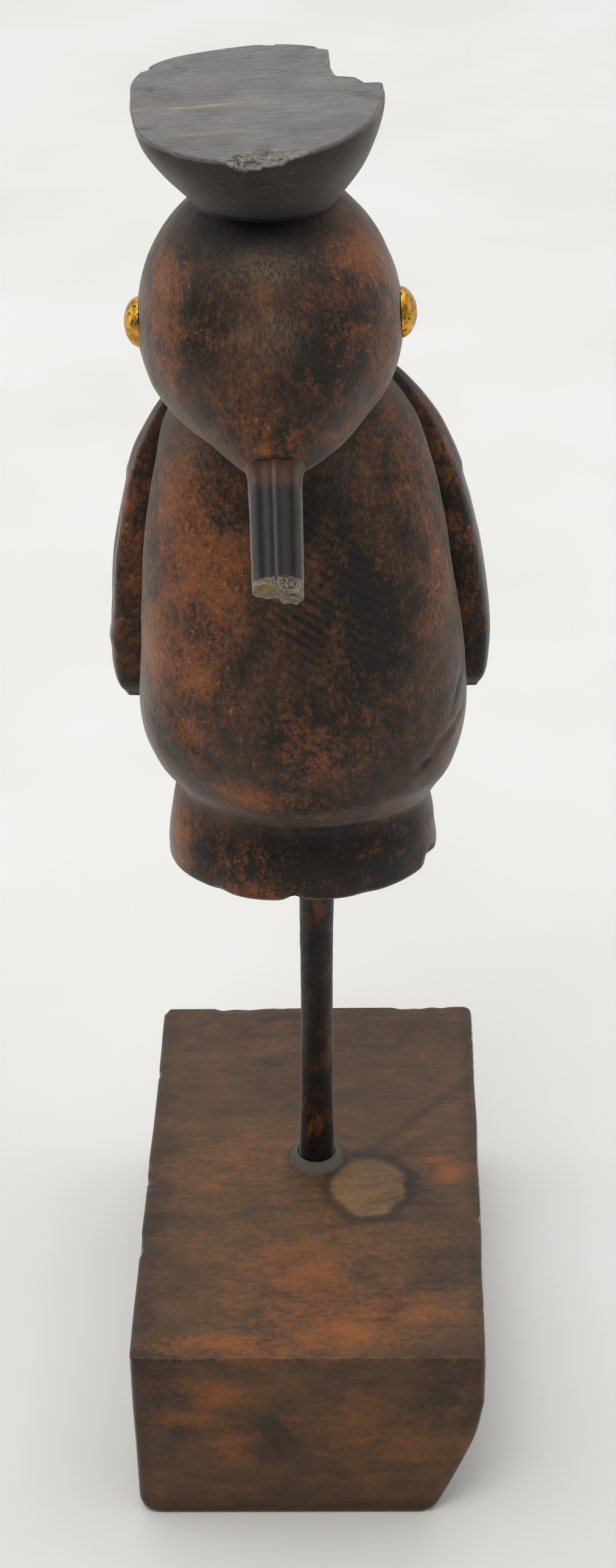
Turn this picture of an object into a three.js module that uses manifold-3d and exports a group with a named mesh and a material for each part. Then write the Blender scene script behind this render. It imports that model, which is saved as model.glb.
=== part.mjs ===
// A carved wooden bird held up by a thin rod in a wooden block.
// Millimetres, +Z up, the beak towards -Y. The origin is the middle of the block's underside.
import * as THREE from "three";
import { mergeVertices } from "three/addons/utils/BufferGeometryUtils.js";
import Module from "manifold-3d";

const wasm = await Module();
wasm.setup();

// Pieces that touch keep this much air between them.
const FIT_GAP = 0.3;
// Vertices of one solid that lie nearer than this are the same vertex.
const MERGE_DISTANCE = 1e-4;

// Block, and the worn lower right edge: how far in from the right side the wood ends at each height.
const BLOCK_WIDTH = 64;
const BLOCK_DEPTH = 105.4;
const BLOCK_HEIGHT = 38;
const BLOCK_CORNER = 2.2;
const BLOCK_FOOT_CORNER = 3.2;
const BLOCK_EDGE_WEAR = 0.7;
const BLOCK_CORNER_STEPS = 4;
const BLOCK_WANE = [
  [11.0, 0],
  [8.9, 1.2],
  [6.7, 6.1],
  [4.0, 12.6],
  [1.6, 18.9],
  [0.3, 26],
];

// Rod: it stands a little behind the block's middle and leans to the bird's left as it rises.
const ROD_RADIUS = 3.2;
const ROD_FOOT_X = 0.6;
const ROD_FOOT_Y = 4.4;
const ROD_LEAN = 0.0235;
const ROD_SOCKET = 15;
const ROD_SIDES = 16;
const ROD_STEPS = 12;
const ROD_SWELLING = [
  [0, 1.0],
  [0.16, 1.07],
  [0.35, 0.96],
  [0.6, 0.94],
  [0.82, 1.0],
  [1, 1.0],
];

// Foot and body. Each station: height, half width, reach to the front, reach to the back, centre's X.
const FOOT_HEIGHT = 109.3;
const BODY_CENTRE_Y = 4.4;
const BODY_FULLNESS = 2.15;
const BODY_SIDES = 52;
const BODY_STATIONS = [
  [109.3, 22.9, 17.4, 17.4, -0.3],
  [110.6, 24.0, 18.6, 18.8, -0.3],
  [116.0, 23.6, 18.4, 18.6, -0.4],
  [122.6, 22.7, 16.2, 18.0, -0.1],
  [126.2, 23.3, 18.6, 19.8, 1.2],
  [131.4, 26.5, 22.6, 24.2, 1.1],
  [138.5, 28.5, 24.8, 27.2, 0.6],
  [148.0, 28.6, 25.0, 28.2, 0.7],
  [162.0, 27.6, 23.4, 27.0, 0.8],
  [176.0, 25.7, 20.6, 24.4, 0.5],
  [188.0, 23.0, 17.4, 21.0, 0.1],
  [197.0, 19.5, 14.2, 17.4, -0.2],
  [203.0, 14.0, 10.5, 13.4, -0.5],
  [206.5, 6.0, 5.0, 6.0, -0.8],
];
const BODY_RING_STEP = 3;

// Wings, as slabs on the body's sides. Angles run round the body from its front, in degrees.
// Each station: angle and height of the leading edge, angle and height of the trailing edge, thickness.
const WING_STATIONS = [
  [112, 203.0, 132, 204.5, 1.2],
  [98, 197.5, 152, 199.5, 1.9],
  [88, 188.0, 163, 190.0, 3.5],
  [84, 174.0, 169, 177.0, 4.2],
  [84, 158.0, 171, 162.0, 4.2],
  [86, 147.5, 171, 147.0, 3.8],
  [92, 141.8, 168, 136.0, 2.2],
];
// The wing on the bird's right hangs lower. It is thinner at the top and thicker lower down.
const RIGHT_WING_DROP = 1.3;
const RIGHT_WING_TOP_SWELL = 0.6;
const RIGHT_WING_SWELL = 1.2;
const RIGHT_WING_SWELL_LENGTH = 0.6;
const WING_RINGS = 20;
const WING_ACROSS = 9;
const WING_ROOT = 3;
// Shares of a wing's thickness at its leading and trailing edges, and how fast the first one fills out.
const WING_LEADING_THICKNESS = 0.72;
const WING_LEADING_GROWTH = 2.5;
const WING_TRAILING_THICKNESS = 0.35;

// Tail: a blade that leaves the lower back in a curve. Its axis, and its width and thickness.
const TAIL_AXIS = new THREE.QuadraticBezierCurve3(
  new THREE.Vector3(0.6, 19, 172),
  new THREE.Vector3(0.6, 29, 138),
  new THREE.Vector3(0.6, 46, 114),
);
const TAIL_ROOT_WIDTH = 34;
const TAIL_END_WIDTH = 19;
const TAIL_ROOT_THICKNESS = 15;
const TAIL_END_THICKNESS = 4.5;
const TAIL_FULLNESS = 2.4;
// The last stretch of the tail is rounded off to this share of its size.
const TAIL_ROUNDED_LENGTH = 0.2;
const TAIL_ROUNDED_SIZE = 0.7;
const TAIL_RINGS = 11;
const TAIL_SIDES = 20;

// Head: an egg round its centre, drawn out to a cone along the beak.
const HEAD_CENTRE = new THREE.Vector3(-2.6, 0, 212.7);
const HEAD_RADIUS = 21.4;
const HEAD_CROWN_RISE = 25.8;
const HEAD_TURN = 1.5;
const HEAD_ROLL = 0.8;
const HEAD_SIDES = 40;
const HEAD_RINGS = 22;
const BEAK_DROP = 40;
const BEAK_ROOT_DISTANCE = 25.6;
const BEAK_ROOT_SHOULDER = 4.7;
const HEAD_DRAW_SPREAD = 38;
const HEAD_DRAW_FALL = 1.95;
const HEAD_DRAW_SKEW = -1.0;
// The flat spot behind, where the head's rings end, as an angle.
const HEAD_POLE = 3;

// Beak: a rounded bar with a fine ridge on top, snapped off in two steps.
const BEAK_HALF_WIDTH = 4.3;
const BEAK_HALF_HEIGHT = 3.5;
const BEAK_END_NARROWING = 0.94;
const BEAK_RIDGE = 0.35;
const BEAK_RIDGE_WIDTH = 0.15;
const BEAK_LENGTH_LEFT = 46.4;
const BEAK_LENGTH_RIGHT = 47.5;
const BEAK_SIDES = 28;
const BEAK_FULLNESS = 2.5;

// Cap: it flares from a waist on the head to a flat top that dips to the front and to the bird's right.
const CAP_WAIST_RISE = 22.3;
const CAP_WAIST_RADIUS = 12.1;
// Below the waist the cap goes on into the head, narrower.
const CAP_SUNK_DEPTH = 5;
const CAP_SUNK_SIZE = 0.8;
const CAP_RISE = 14.9;
const CAP_RADIUS = 19.6;
const CAP_SHIFT = new THREE.Vector2(-0.4, -0.8);
const CAP_DIP = 7.5;
const CAP_ROLL = 2.4;
const CAP_WAIST_ROLL = -2;
const CAP_CORNER_ANGLE = 140;
const CAP_CORNER_BULGE = 0.17;
const CAP_CORNER_SPREAD = 24;
const CAP_SIDES = 52;
const CAP_RINGS = 8;
// The corner that broke off behind on the bird's left, as a plan outline.
const CAP_BREAK = [
  [10.9, 32],
  [11.4, 14.6],
  [10.9, 11.6],
  [11.7, 9.0],
  [12.3, 5.8],
  [15.3, 5.2],
  [16.4, 3.0],
  [32, 2.4],
  [32, 32],
];
// The chip out of the front rim: its middle, width, how deep it goes and its slope.
const CAP_CHIP_X = 1.2;
const CAP_CHIP_WIDTH = 15;
const CAP_CHIP_DEPTH = 1.2;
const CAP_CHIP_SLOPE = 60;

// Eyes: domed tack heads seated in the sides of the head.
const EYE_RADIUS = 4.1;
const EYE_PROUD = 2.2;
// Above 1 the dome is flatter near its rim than an ellipse.
const EYE_DOME_POWER = 1.3;
const EYE_RIM = 0.5;
const EYE_RISE = 1.3;
const EYE_FORWARD = 0.5;
const EYE_SIDES = 20;
const EYE_RINGS = 5;

const radians = THREE.MathUtils.degToRad;

// Joins and cuts work on solids: closed meshes whose shared vertices are merged.
function toSolid(geometry) {
  const bare = geometry.clone();
  bare.deleteAttribute("normal");
  bare.deleteAttribute("uv");
  const merged = mergeVertices(bare, MERGE_DISTANCE);
  const vertProperties = new Float32Array(merged.attributes.position.array);
  const triVerts = new Uint32Array(merged.index.array);
  return new wasm.Manifold(new wasm.Mesh({ numProp: 3, vertProperties, triVerts }));
}

function toGeometry(solid) {
  const mesh = solid.getMesh();
  const geometry = new THREE.BufferGeometry();
  geometry.setAttribute("position", new THREE.BufferAttribute(mesh.vertProperties, 3));
  geometry.setIndex(new THREE.BufferAttribute(mesh.triVerts, 1));
  const facets = geometry.toNonIndexed();
  facets.computeVertexNormals();
  return facets;
}

function join(geometries) {
  return geometries.map(toSolid).reduce((whole, piece) => whole.add(piece));
}

// A smooth curve through a table's rows, read at a value of its first column. The slope at each row
// is that of the chord between its neighbours.
function smooth(table, column, at) {
  const last = table.length - 1;
  let i = 0;
  while (i < last - 1 && at > table[i + 1][0]) i += 1;
  const slope = (k) => {
    const before = table[Math.max(k - 1, 0)];
    const after = table[Math.min(k + 1, last)];
    return (after[column] - before[column]) / (after[0] - before[0]);
  };
  const span = table[i + 1][0] - table[i][0];
  const t = (at - table[i][0]) / span;
  const rise = t * t * (3 - 2 * t);
  const ease = t * (1 - t);
  return (
    table[i][column] * (1 - rise) +
    table[i + 1][column] * rise +
    span * ease * ((1 - t) * slope(i) - t * slope(i + 1))
  );
}

// A closed solid over a stack of rings with the same number of points. Seen from the last ring's
// side, each ring runs counterclockwise. Both ends are closed with a fan round their middle.
function loft(rings) {
  const sides = rings[0].length;
  const positions = [];
  const index = [];
  rings.forEach((ring) => ring.forEach((p) => positions.push(p.x, p.y, p.z)));
  for (let i = 0; i + 1 < rings.length; i += 1) {
    for (let j = 0; j < sides; j += 1) {
      const next = (j + 1) % sides;
      const a = i * sides + j;
      const b = i * sides + next;
      index.push(a, b, b + sides, a, b + sides, a + sides);
    }
  }
  const addEnd = (ring, first, flip) => {
    const middle = new THREE.Vector3();
    ring.forEach((p) => middle.addScaledVector(p, 1 / sides));
    const hub = positions.length / 3;
    positions.push(middle.x, middle.y, middle.z);
    for (let j = 0; j < sides; j += 1) {
      const next = first + ((j + 1) % sides);
      if (flip) index.push(hub, next, first + j);
      else index.push(hub, first + j, next);
    }
  };
  addEnd(rings[0], 0, true);
  addEnd(rings[rings.length - 1], (rings.length - 1) * sides, false);
  const geometry = new THREE.BufferGeometry();
  geometry.setAttribute("position", new THREE.Float32BufferAttribute(positions, 3));
  geometry.setIndex(index);
  return geometry;
}

// A point of a rounded outline with half sizes 1: fullness 2 is a circle, more is squarer.
function rounded(angle, fullness) {
  const power = 2 / fullness;
  const cos = Math.cos(angle);
  const sin = Math.sin(angle);
  return [
    Math.sign(cos) * Math.abs(cos) ** power,
    Math.sign(sin) * Math.abs(sin) ** power,
  ];
}

function rodCentre(height) {
  const risen = height - BLOCK_HEIGHT;
  return new THREE.Vector3(ROD_FOOT_X + ROD_LEAN * risen, ROD_FOOT_Y, height);
}

// A round bar between two heights on the rod's leaning axis.
function rodBar(bottom, top, radiusAt, steps) {
  const rings = [];
  for (let i = 0; i <= steps; i += 1) {
    const centre = rodCentre(THREE.MathUtils.lerp(bottom, top, i / steps));
    const radius = radiusAt(i / steps);
    const ring = [];
    for (let j = 0; j < ROD_SIDES; j += 1) {
      const angle = (2 * Math.PI * j) / ROD_SIDES;
      ring.push(new THREE.Vector3(radius * Math.cos(angle), radius * Math.sin(angle), 0).add(centre));
    }
    rings.push(ring);
  }
  return loft(rings);
}

function rodGeometry() {
  const bottom = BLOCK_HEIGHT - ROD_SOCKET + FIT_GAP;
  const top = FOOT_HEIGHT + ROD_SOCKET - FIT_GAP;
  return rodBar(bottom, top, (t) => ROD_RADIUS * smooth(ROD_SWELLING, 1, t), ROD_STEPS);
}

// The hole that the rod stands in, wide enough for its thickest stretch.
function rodHole(bottom, top) {
  const thickest = Math.max(...ROD_SWELLING.map((row) => row[1]));
  return rodBar(bottom, top, () => ROD_RADIUS * thickest + FIT_GAP, 1);
}

function blockGeometry() {
  const half = BLOCK_WIDTH / 2;
  const front = new THREE.Shape();
  front.moveTo(-half + BLOCK_FOOT_CORNER, 0);
  BLOCK_WANE.forEach(([inset, height]) => front.lineTo(half - inset, height));
  front.lineTo(half, BLOCK_HEIGHT - BLOCK_EDGE_WEAR);
  front.lineTo(half - BLOCK_EDGE_WEAR, BLOCK_HEIGHT);
  front.lineTo(-half + BLOCK_EDGE_WEAR, BLOCK_HEIGHT);
  front.lineTo(-half, BLOCK_HEIGHT - BLOCK_EDGE_WEAR);
  front.lineTo(-half, BLOCK_FOOT_CORNER);
  front.quadraticCurveTo(-half, 0, -half + BLOCK_FOOT_CORNER, 0);
  const bar = new THREE.ExtrudeGeometry(front, {
    depth: BLOCK_DEPTH,
    bevelEnabled: false,
    curveSegments: BLOCK_CORNER_STEPS,
  });
  bar.rotateX(Math.PI / 2).translate(0, BLOCK_DEPTH / 2, 0);

  const depth = BLOCK_DEPTH / 2;
  const plan = new THREE.Shape();
  const r = BLOCK_CORNER - BLOCK_EDGE_WEAR;
  const w = half - BLOCK_EDGE_WEAR;
  const d = depth - BLOCK_EDGE_WEAR;
  plan.absarc(w - r, d - r, r, 0, Math.PI / 2);
  plan.absarc(-w + r, d - r, r, Math.PI / 2, Math.PI);
  plan.absarc(-w + r, -d + r, r, Math.PI, 1.5 * Math.PI);
  plan.absarc(w - r, -d + r, r, 1.5 * Math.PI, 2 * Math.PI);
  plan.closePath();
  const slab = new THREE.ExtrudeGeometry(plan, {
    depth: BLOCK_HEIGHT - 2 * BLOCK_EDGE_WEAR,
    bevelThickness: BLOCK_EDGE_WEAR,
    bevelSize: BLOCK_EDGE_WEAR,
    bevelSegments: 2,
    curveSegments: BLOCK_CORNER_STEPS,
  });
  slab.translate(0, 0, BLOCK_EDGE_WEAR);
  const hole = rodHole(BLOCK_HEIGHT - ROD_SOCKET, BLOCK_HEIGHT + ROD_SOCKET);
  return toGeometry(toSolid(bar).intersect(toSolid(slab)).subtract(toSolid(hole)));
}

// A point on the body, or a little outside or inside it. The angle is 0 at the front and 90 degrees
// on the side of +X.
function bodyPoint(angle, height, outside = 0) {
  const halfWidth = smooth(BODY_STATIONS, 1, height);
  const front = Math.cos(angle) > 0;
  const reach = smooth(BODY_STATIONS, front ? 2 : 3, height);
  const [along, across] = rounded(angle, BODY_FULLNESS);
  const normal = new THREE.Vector2(across / halfWidth, -along / reach).normalize();
  return new THREE.Vector3(
    smooth(BODY_STATIONS, 4, height) + halfWidth * across + outside * normal.x,
    BODY_CENTRE_Y - reach * along + outside * normal.y,
    height,
  );
}

function bodyGeometry() {
  const heights = [];
  for (let i = 0; i + 1 < BODY_STATIONS.length; i += 1) {
    const [low, high] = [BODY_STATIONS[i][0], BODY_STATIONS[i + 1][0]];
    const steps = Math.ceil((high - low) / BODY_RING_STEP);
    for (let k = 0; k < steps; k += 1) heights.push(THREE.MathUtils.lerp(low, high, k / steps));
  }
  heights.push(BODY_STATIONS[BODY_STATIONS.length - 1][0]);
  const rings = heights.map((height) => {
    const ring = [];
    for (let j = 0; j < BODY_SIDES; j += 1) {
      ring.push(bodyPoint((2 * Math.PI * j) / BODY_SIDES, height));
    }
    return ring;
  });
  return loft(rings);
}

// One wing. Each ring runs from the leading edge to the trailing edge on the outside and back inside
// the body. Side is 1 for +X and -1 for -X.
function wingGeometry(side) {
  const table = WING_STATIONS.map((row, i) => [i / (WING_STATIONS.length - 1), ...row]);
  const rings = [];
  for (let i = 0; i <= WING_RINGS; i += 1) {
    const u = i / WING_RINGS;
    const [leadAngle, leadHeight, trailAngle, trailHeight, thickness] = [1, 2, 3, 4, 5].map(
      (column) => smooth(table, column, u),
    );
    const drop = side < 0 ? RIGHT_WING_DROP * u * u : 0;
    const full = THREE.MathUtils.smoothstep(u, 0, RIGHT_WING_SWELL_LENGTH);
    const swell = THREE.MathUtils.lerp(RIGHT_WING_TOP_SWELL, RIGHT_WING_SWELL, full);
    const depth = side < 0 ? swell * thickness : thickness;
    const at = (v, outside) => {
      const angle = radians(THREE.MathUtils.lerp(leadAngle, trailAngle, v)) * side;
      const height = THREE.MathUtils.lerp(leadHeight, trailHeight, v) - drop;
      return bodyPoint(angle, height, outside);
    };
    const ring = [];
    for (let j = 0; j <= WING_ACROSS; j += 1) {
      const v = j / WING_ACROSS;
      const nose = Math.min(1, WING_LEADING_THICKNESS + WING_LEADING_GROWTH * v);
      const thinning = 1 - (1 - WING_TRAILING_THICKNESS) * v * v;
      ring.push(at(v, depth * nose * thinning));
    }
    for (let j = WING_ACROSS; j >= 0; j -= 1) ring.push(at(j / WING_ACROSS, -WING_ROOT));
    rings.push(side > 0 ? ring.reverse() : ring);
  }
  return loft(rings);
}

function tailGeometry() {
  const across = new THREE.Vector3(1, 0, 0);
  const rings = [];
  for (let i = 0; i <= TAIL_RINGS; i += 1) {
    const t = i / TAIL_RINGS;
    const rounding = Math.max(0, 1 - (1 - t) / TAIL_ROUNDED_LENGTH);
    const tip = Math.sqrt(1 - (1 - TAIL_ROUNDED_SIZE ** 2) * rounding ** 2);
    const halfWidth = (THREE.MathUtils.lerp(TAIL_ROOT_WIDTH, TAIL_END_WIDTH, t) / 2) * tip;
    const halfThickness = (THREE.MathUtils.lerp(TAIL_ROOT_THICKNESS, TAIL_END_THICKNESS, t) / 2) * tip;
    const centre = TAIL_AXIS.getPoint(t);
    const inward = new THREE.Vector3().crossVectors(TAIL_AXIS.getTangent(t), across);
    const ring = [];
    for (let j = 0; j < TAIL_SIDES; j += 1) {
      const [x, y] = rounded((2 * Math.PI * j) / TAIL_SIDES, TAIL_FULLNESS);
      ring.push(
        centre
          .clone()
          .addScaledVector(across, x * halfWidth)
          .addScaledVector(inward, y * halfThickness),
      );
    }
    rings.push(ring);
  }
  return loft(rings);
}

// Places what is modelled round the head's centre.
function headPlacement() {
  const turn = new THREE.Matrix4().makeRotationZ(radians(HEAD_TURN));
  const roll = new THREE.Matrix4().makeRotationY(-radians(HEAD_ROLL));
  return new THREE.Matrix4().makeTranslation(HEAD_CENTRE).multiply(turn).multiply(roll);
}

// The beak's direction and the two directions square to it, to +X and to its upper side.
function beakAxes() {
  const drop = radians(BEAK_DROP);
  const along = new THREE.Vector3(0, -Math.cos(drop), -Math.sin(drop));
  const across = new THREE.Vector3(1, 0, 0);
  const above = new THREE.Vector3().crossVectors(along, across);
  return { along, across, above };
}

// The angle from the beak's axis to the edge of the flat end that the beak grows from.
function headRootAngle() {
  return Math.atan2(BEAK_ROOT_SHOULDER, BEAK_ROOT_DISTANCE);
}

// How far the head reaches from its centre in a direction: an egg, drawn out more and more towards
// the beak's root. The draw falls off a little faster on one cheek than on the other.
function headReach(direction, angleFromBeak) {
  const rise = direction.z > 0 ? HEAD_CROWN_RISE : HEAD_RADIUS;
  const egg =
    1 / Math.hypot(Math.hypot(direction.x, direction.y) / HEAD_RADIUS, direction.z / rise);
  const draw = Math.hypot(BEAK_ROOT_DISTANCE, BEAK_ROOT_SHOULDER) / HEAD_RADIUS - 1;
  const away = (angleFromBeak - headRootAngle()) / radians(HEAD_DRAW_SPREAD);
  const fall = HEAD_DRAW_FALL + HEAD_DRAW_SKEW * direction.x;
  return egg * (1 + draw * Math.max(0, 1 - away) ** fall);
}

function headGeometry() {
  const { along, across, above } = beakAxes();
  const back = Math.PI - radians(HEAD_POLE);
  const rings = [];
  for (let i = 0; i <= HEAD_RINGS; i += 1) {
    const angle = THREE.MathUtils.lerp(back, headRootAngle(), i / HEAD_RINGS);
    const ring = [];
    for (let j = 0; j < HEAD_SIDES; j += 1) {
      const round = (2 * Math.PI * j) / HEAD_SIDES;
      const direction = along
        .clone()
        .multiplyScalar(Math.cos(angle))
        .addScaledVector(across, Math.sin(angle) * Math.cos(round))
        .addScaledVector(above, Math.sin(angle) * Math.sin(round));
      ring.push(direction.clone().multiplyScalar(headReach(direction, angle)));
    }
    rings.push(ring);
  }
  return loft(rings);
}

function beakGeometry() {
  const { along, across, above } = beakAxes();
  const inside = BEAK_ROOT_DISTANCE / 2;
  const bar = loft(
    [inside, BEAK_ROOT_DISTANCE, BEAK_LENGTH_RIGHT].map((distance) => {
      const size = distance === BEAK_LENGTH_RIGHT ? BEAK_END_NARROWING : 1;
      const ring = [];
      for (let j = 0; j < BEAK_SIDES; j += 1) {
        const [x, y] = rounded((2 * Math.PI * j) / BEAK_SIDES, BEAK_FULLNESS);
        const ridge = y > 0 ? BEAK_RIDGE * Math.exp(-((x / BEAK_RIDGE_WIDTH) ** 2)) : 0;
        ring.push(
          along
            .clone()
            .multiplyScalar(distance)
            .addScaledVector(across, x * BEAK_HALF_WIDTH * size)
            .addScaledVector(above, y * BEAK_HALF_HEIGHT * size + ridge),
        );
      }
      return ring;
    }),
  );
  const missing = BEAK_LENGTH_RIGHT - BEAK_LENGTH_LEFT;
  const snapped = new THREE.BoxGeometry(BEAK_HALF_WIDTH * 2, BEAK_HALF_HEIGHT * 4, missing * 2);
  const basis = new THREE.Matrix4().makeBasis(across, above, along);
  snapped.translate(-BEAK_HALF_WIDTH, 0, BEAK_LENGTH_RIGHT).applyMatrix4(basis);
  return toGeometry(toSolid(bar).subtract(toSolid(snapped)));
}

// How far the cap's rim lies from its middle, in plan. Angle 0 is +X and 90 degrees is behind.
function capRim(angle) {
  const off = Math.abs(THREE.MathUtils.radToDeg(angle) - CAP_CORNER_ANGLE);
  return CAP_RADIUS * (1 + CAP_CORNER_BULGE * Math.exp(-((off / CAP_CORNER_SPREAD) ** 2)));
}

// The cap's own frame at a share of its rise: 0 at the waist, 1 at the top, where it dips most.
function capFrame(share) {
  const roll = THREE.MathUtils.lerp(CAP_WAIST_ROLL, CAP_ROLL, share);
  return new THREE.Matrix4()
    .makeTranslation(
      CAP_SHIFT.x * share,
      CAP_SHIFT.y * share,
      CAP_WAIST_RISE + CAP_RISE * share,
    )
    .multiply(new THREE.Matrix4().makeRotationY(-radians(roll)))
    .multiply(new THREE.Matrix4().makeRotationX(radians(CAP_DIP) * share));
}

function capGeometry() {
  const rings = [];
  for (let i = 0; i <= CAP_RINGS; i += 1) {
    const share = i / CAP_RINGS;
    const flare = Math.sin((share * Math.PI) / 2);
    const frame = capFrame(share);
    const ring = [];
    for (let j = 0; j < CAP_SIDES; j += 1) {
      const angle = (2 * Math.PI * j) / CAP_SIDES;
      const radius = THREE.MathUtils.lerp(CAP_WAIST_RADIUS, capRim(angle), flare);
      ring.push(
        new THREE.Vector3(radius * Math.cos(angle), radius * Math.sin(angle), 0).applyMatrix4(frame),
      );
    }
    rings.push(ring);
  }
  const sunk = new THREE.Matrix4()
    .makeTranslation(0, 0, -CAP_SUNK_DEPTH)
    .scale(new THREE.Vector3(CAP_SUNK_SIZE, CAP_SUNK_SIZE, 1));
  rings.unshift(rings[0].map((point) => point.clone().applyMatrix4(sunk)));

  const top = capFrame(1);
  const outline = new THREE.Shape(CAP_BREAK.map(([x, y]) => new THREE.Vector2(x, y)));
  const lost = new THREE.ExtrudeGeometry(outline, { depth: 2 * CAP_RISE, bevelEnabled: false });
  lost.translate(0, 0, -CAP_RISE).applyMatrix4(top);
  const chip = new THREE.BoxGeometry(CAP_CHIP_WIDTH, CAP_RISE, CAP_RISE);
  chip
    .translate(0, -CAP_RISE / 2, 0)
    .rotateX(-radians(90 - CAP_CHIP_SLOPE))
    .translate(CAP_CHIP_X, CAP_CHIP_DEPTH - CAP_RADIUS, 0)
    .applyMatrix4(top);
  return toGeometry(toSolid(loft(rings)).subtract(toSolid(lost)).subtract(toSolid(chip)));
}

// Side is 1 for the tack at +X, the bird's left, and -1 for the other.
function eyePlacement(side) {
  const reach = Math.sqrt(HEAD_RADIUS ** 2 - EYE_FORWARD ** 2);
  const sink = 1 - EYE_RISE ** 2 / HEAD_CROWN_RISE ** 2;
  return new THREE.Matrix4()
    .makeTranslation(side * reach * Math.sqrt(sink), -EYE_FORWARD, EYE_RISE)
    .multiply(new THREE.Matrix4().makeRotationY((side * Math.PI) / 2));
}

function eyeGeometry(side) {
  const profile = [new THREE.Vector2(0, -EYE_RIM), new THREE.Vector2(EYE_RADIUS, -EYE_RIM)];
  for (let i = 0; i <= EYE_RINGS; i += 1) {
    const rise = (Math.PI / 2) * (i / EYE_RINGS);
    const height = EYE_PROUD * Math.sin(rise) ** EYE_DOME_POWER;
    profile.push(new THREE.Vector2(EYE_RADIUS * Math.cos(rise), height));
  }
  profile[profile.length - 1].x = 0;
  const dome = new THREE.LatheGeometry(profile, EYE_SIDES);
  dome.rotateX(Math.PI / 2).applyMatrix4(eyePlacement(side)).applyMatrix4(headPlacement());
  return dome;
}

function eyeSeat(side) {
  const depth = EYE_PROUD + EYE_RIM + FIT_GAP;
  const radius = EYE_RADIUS + FIT_GAP;
  const seat = new THREE.CylinderGeometry(radius, radius, depth, EYE_SIDES);
  seat.rotateX(Math.PI / 2).translate(0, 0, depth / 2 - EYE_RIM - FIT_GAP);
  return seat.applyMatrix4(eyePlacement(side)).applyMatrix4(headPlacement());
}

function birdGeometry() {
  const placed = headPlacement();
  const carved = join([
    bodyGeometry(),
    wingGeometry(1),
    wingGeometry(-1),
    tailGeometry(),
    headGeometry().applyMatrix4(placed),
    beakGeometry().applyMatrix4(placed),
    capGeometry().applyMatrix4(placed),
  ]);
  return toGeometry(
    carved
      .subtract(toSolid(eyeSeat(1)))
      .subtract(toSolid(eyeSeat(-1)))
      .subtract(toSolid(rodHole(FOOT_HEIGHT - ROD_SOCKET, FOOT_HEIGHT + ROD_SOCKET))),
  );
}

function piece(name, geometry, color, roughness, metalness = 0) {
  const material = new THREE.MeshStandardMaterial({ color, roughness, metalness });
  const mesh = new THREE.Mesh(geometry, material);
  mesh.name = name;
  return mesh;
}

const group = new THREE.Group();
group.add(
  piece("bird", birdGeometry(), 0x3d2418, 0.5),
  piece("eye_left", eyeGeometry(1), 0x9a7428, 0.38, 1),
  piece("eye_right", eyeGeometry(-1), 0x9a7428, 0.38, 1),
  piece("rod", rodGeometry(), 0x2e1a10, 0.6),
  piece("base_block", blockGeometry(), 0x46301f, 0.6),
);

export default group;
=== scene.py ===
"""Looks of a carved wooden bird that stands on a thin rod in a wooden block.

Sizes are in millimetres, +Z is up and the beak points to -Y, as in the frame. Meshes are written in
metres.
"""

import itertools
import logging
import math
from dataclasses import dataclass, field
from enum import Enum

import bpy
import numpy as np
from mathutils import Matrix, Vector


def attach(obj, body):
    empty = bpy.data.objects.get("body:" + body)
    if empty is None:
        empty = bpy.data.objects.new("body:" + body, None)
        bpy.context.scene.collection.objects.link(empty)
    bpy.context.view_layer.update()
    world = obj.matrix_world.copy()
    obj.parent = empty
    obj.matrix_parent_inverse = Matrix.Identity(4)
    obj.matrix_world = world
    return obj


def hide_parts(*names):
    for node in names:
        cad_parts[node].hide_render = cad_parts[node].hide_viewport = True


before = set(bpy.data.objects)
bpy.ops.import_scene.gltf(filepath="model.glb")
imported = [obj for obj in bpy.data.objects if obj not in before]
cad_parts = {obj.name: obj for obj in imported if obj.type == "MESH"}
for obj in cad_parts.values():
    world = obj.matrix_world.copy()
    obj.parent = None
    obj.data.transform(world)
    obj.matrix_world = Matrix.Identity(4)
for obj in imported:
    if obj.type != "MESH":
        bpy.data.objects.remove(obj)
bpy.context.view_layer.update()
MM = 0.001
LOG = logging.getLogger("figurine")

Array = np.ndarray


def curve(table: Array, column: int, at: Array) -> Array:
    """Read a smooth curve through the rows of a table.

    A cubic runs between neighbouring rows. Its slope at a row is that of the chord between the rows
    on either side of it.

    Args:
        table: One row per station, its place in the first column.
        column: The column to read.
        at: Places to read it at.

    Returns:
        The values there.
    """
    x, y = table[:, 0], table[:, column]
    last = len(x) - 1
    rows = np.arange(last + 1)
    before, after = np.maximum(rows - 1, 0), np.minimum(rows + 1, last)
    slope = (y[after] - y[before]) / (x[after] - x[before])
    i = np.clip(np.searchsorted(x, at) - 1, 0, last - 1)
    span = x[i + 1] - x[i]
    t = (at - x[i]) / span
    rise = t * t * (3 - 2 * t)
    ease = t * (1 - t) * span
    return y[i] * (1 - rise) + y[i + 1] * rise + ease * ((1 - t) * slope[i] - t * slope[i + 1])


def step(x: Array, start: float, end: float) -> Array:
    """Go smoothly from 0 at start to 1 at end: t * t * (3 - 2 * t)."""
    t = np.clip((x - start) / (end - start), 0.0, 1.0)
    return t * t * (3 - 2 * t)


def hump(x: Array, width: float) -> Array:
    """Rise to 1 at 0 and fall off as a bell of this width: exp(-(x / width) ** 2)."""
    return np.exp(-((x / width) ** 2))


def rounded(angle: Array, fullness: float) -> tuple[Array, Array]:
    """Give the cosine and sine parts of a rounded outline of half size 1; fullness 2 is a circle."""
    power = 2 / fullness
    cos, sin = np.cos(angle), np.sin(angle)
    return np.sign(cos) * np.abs(cos) ** power, np.sign(sin) * np.abs(sin) ** power


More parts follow.
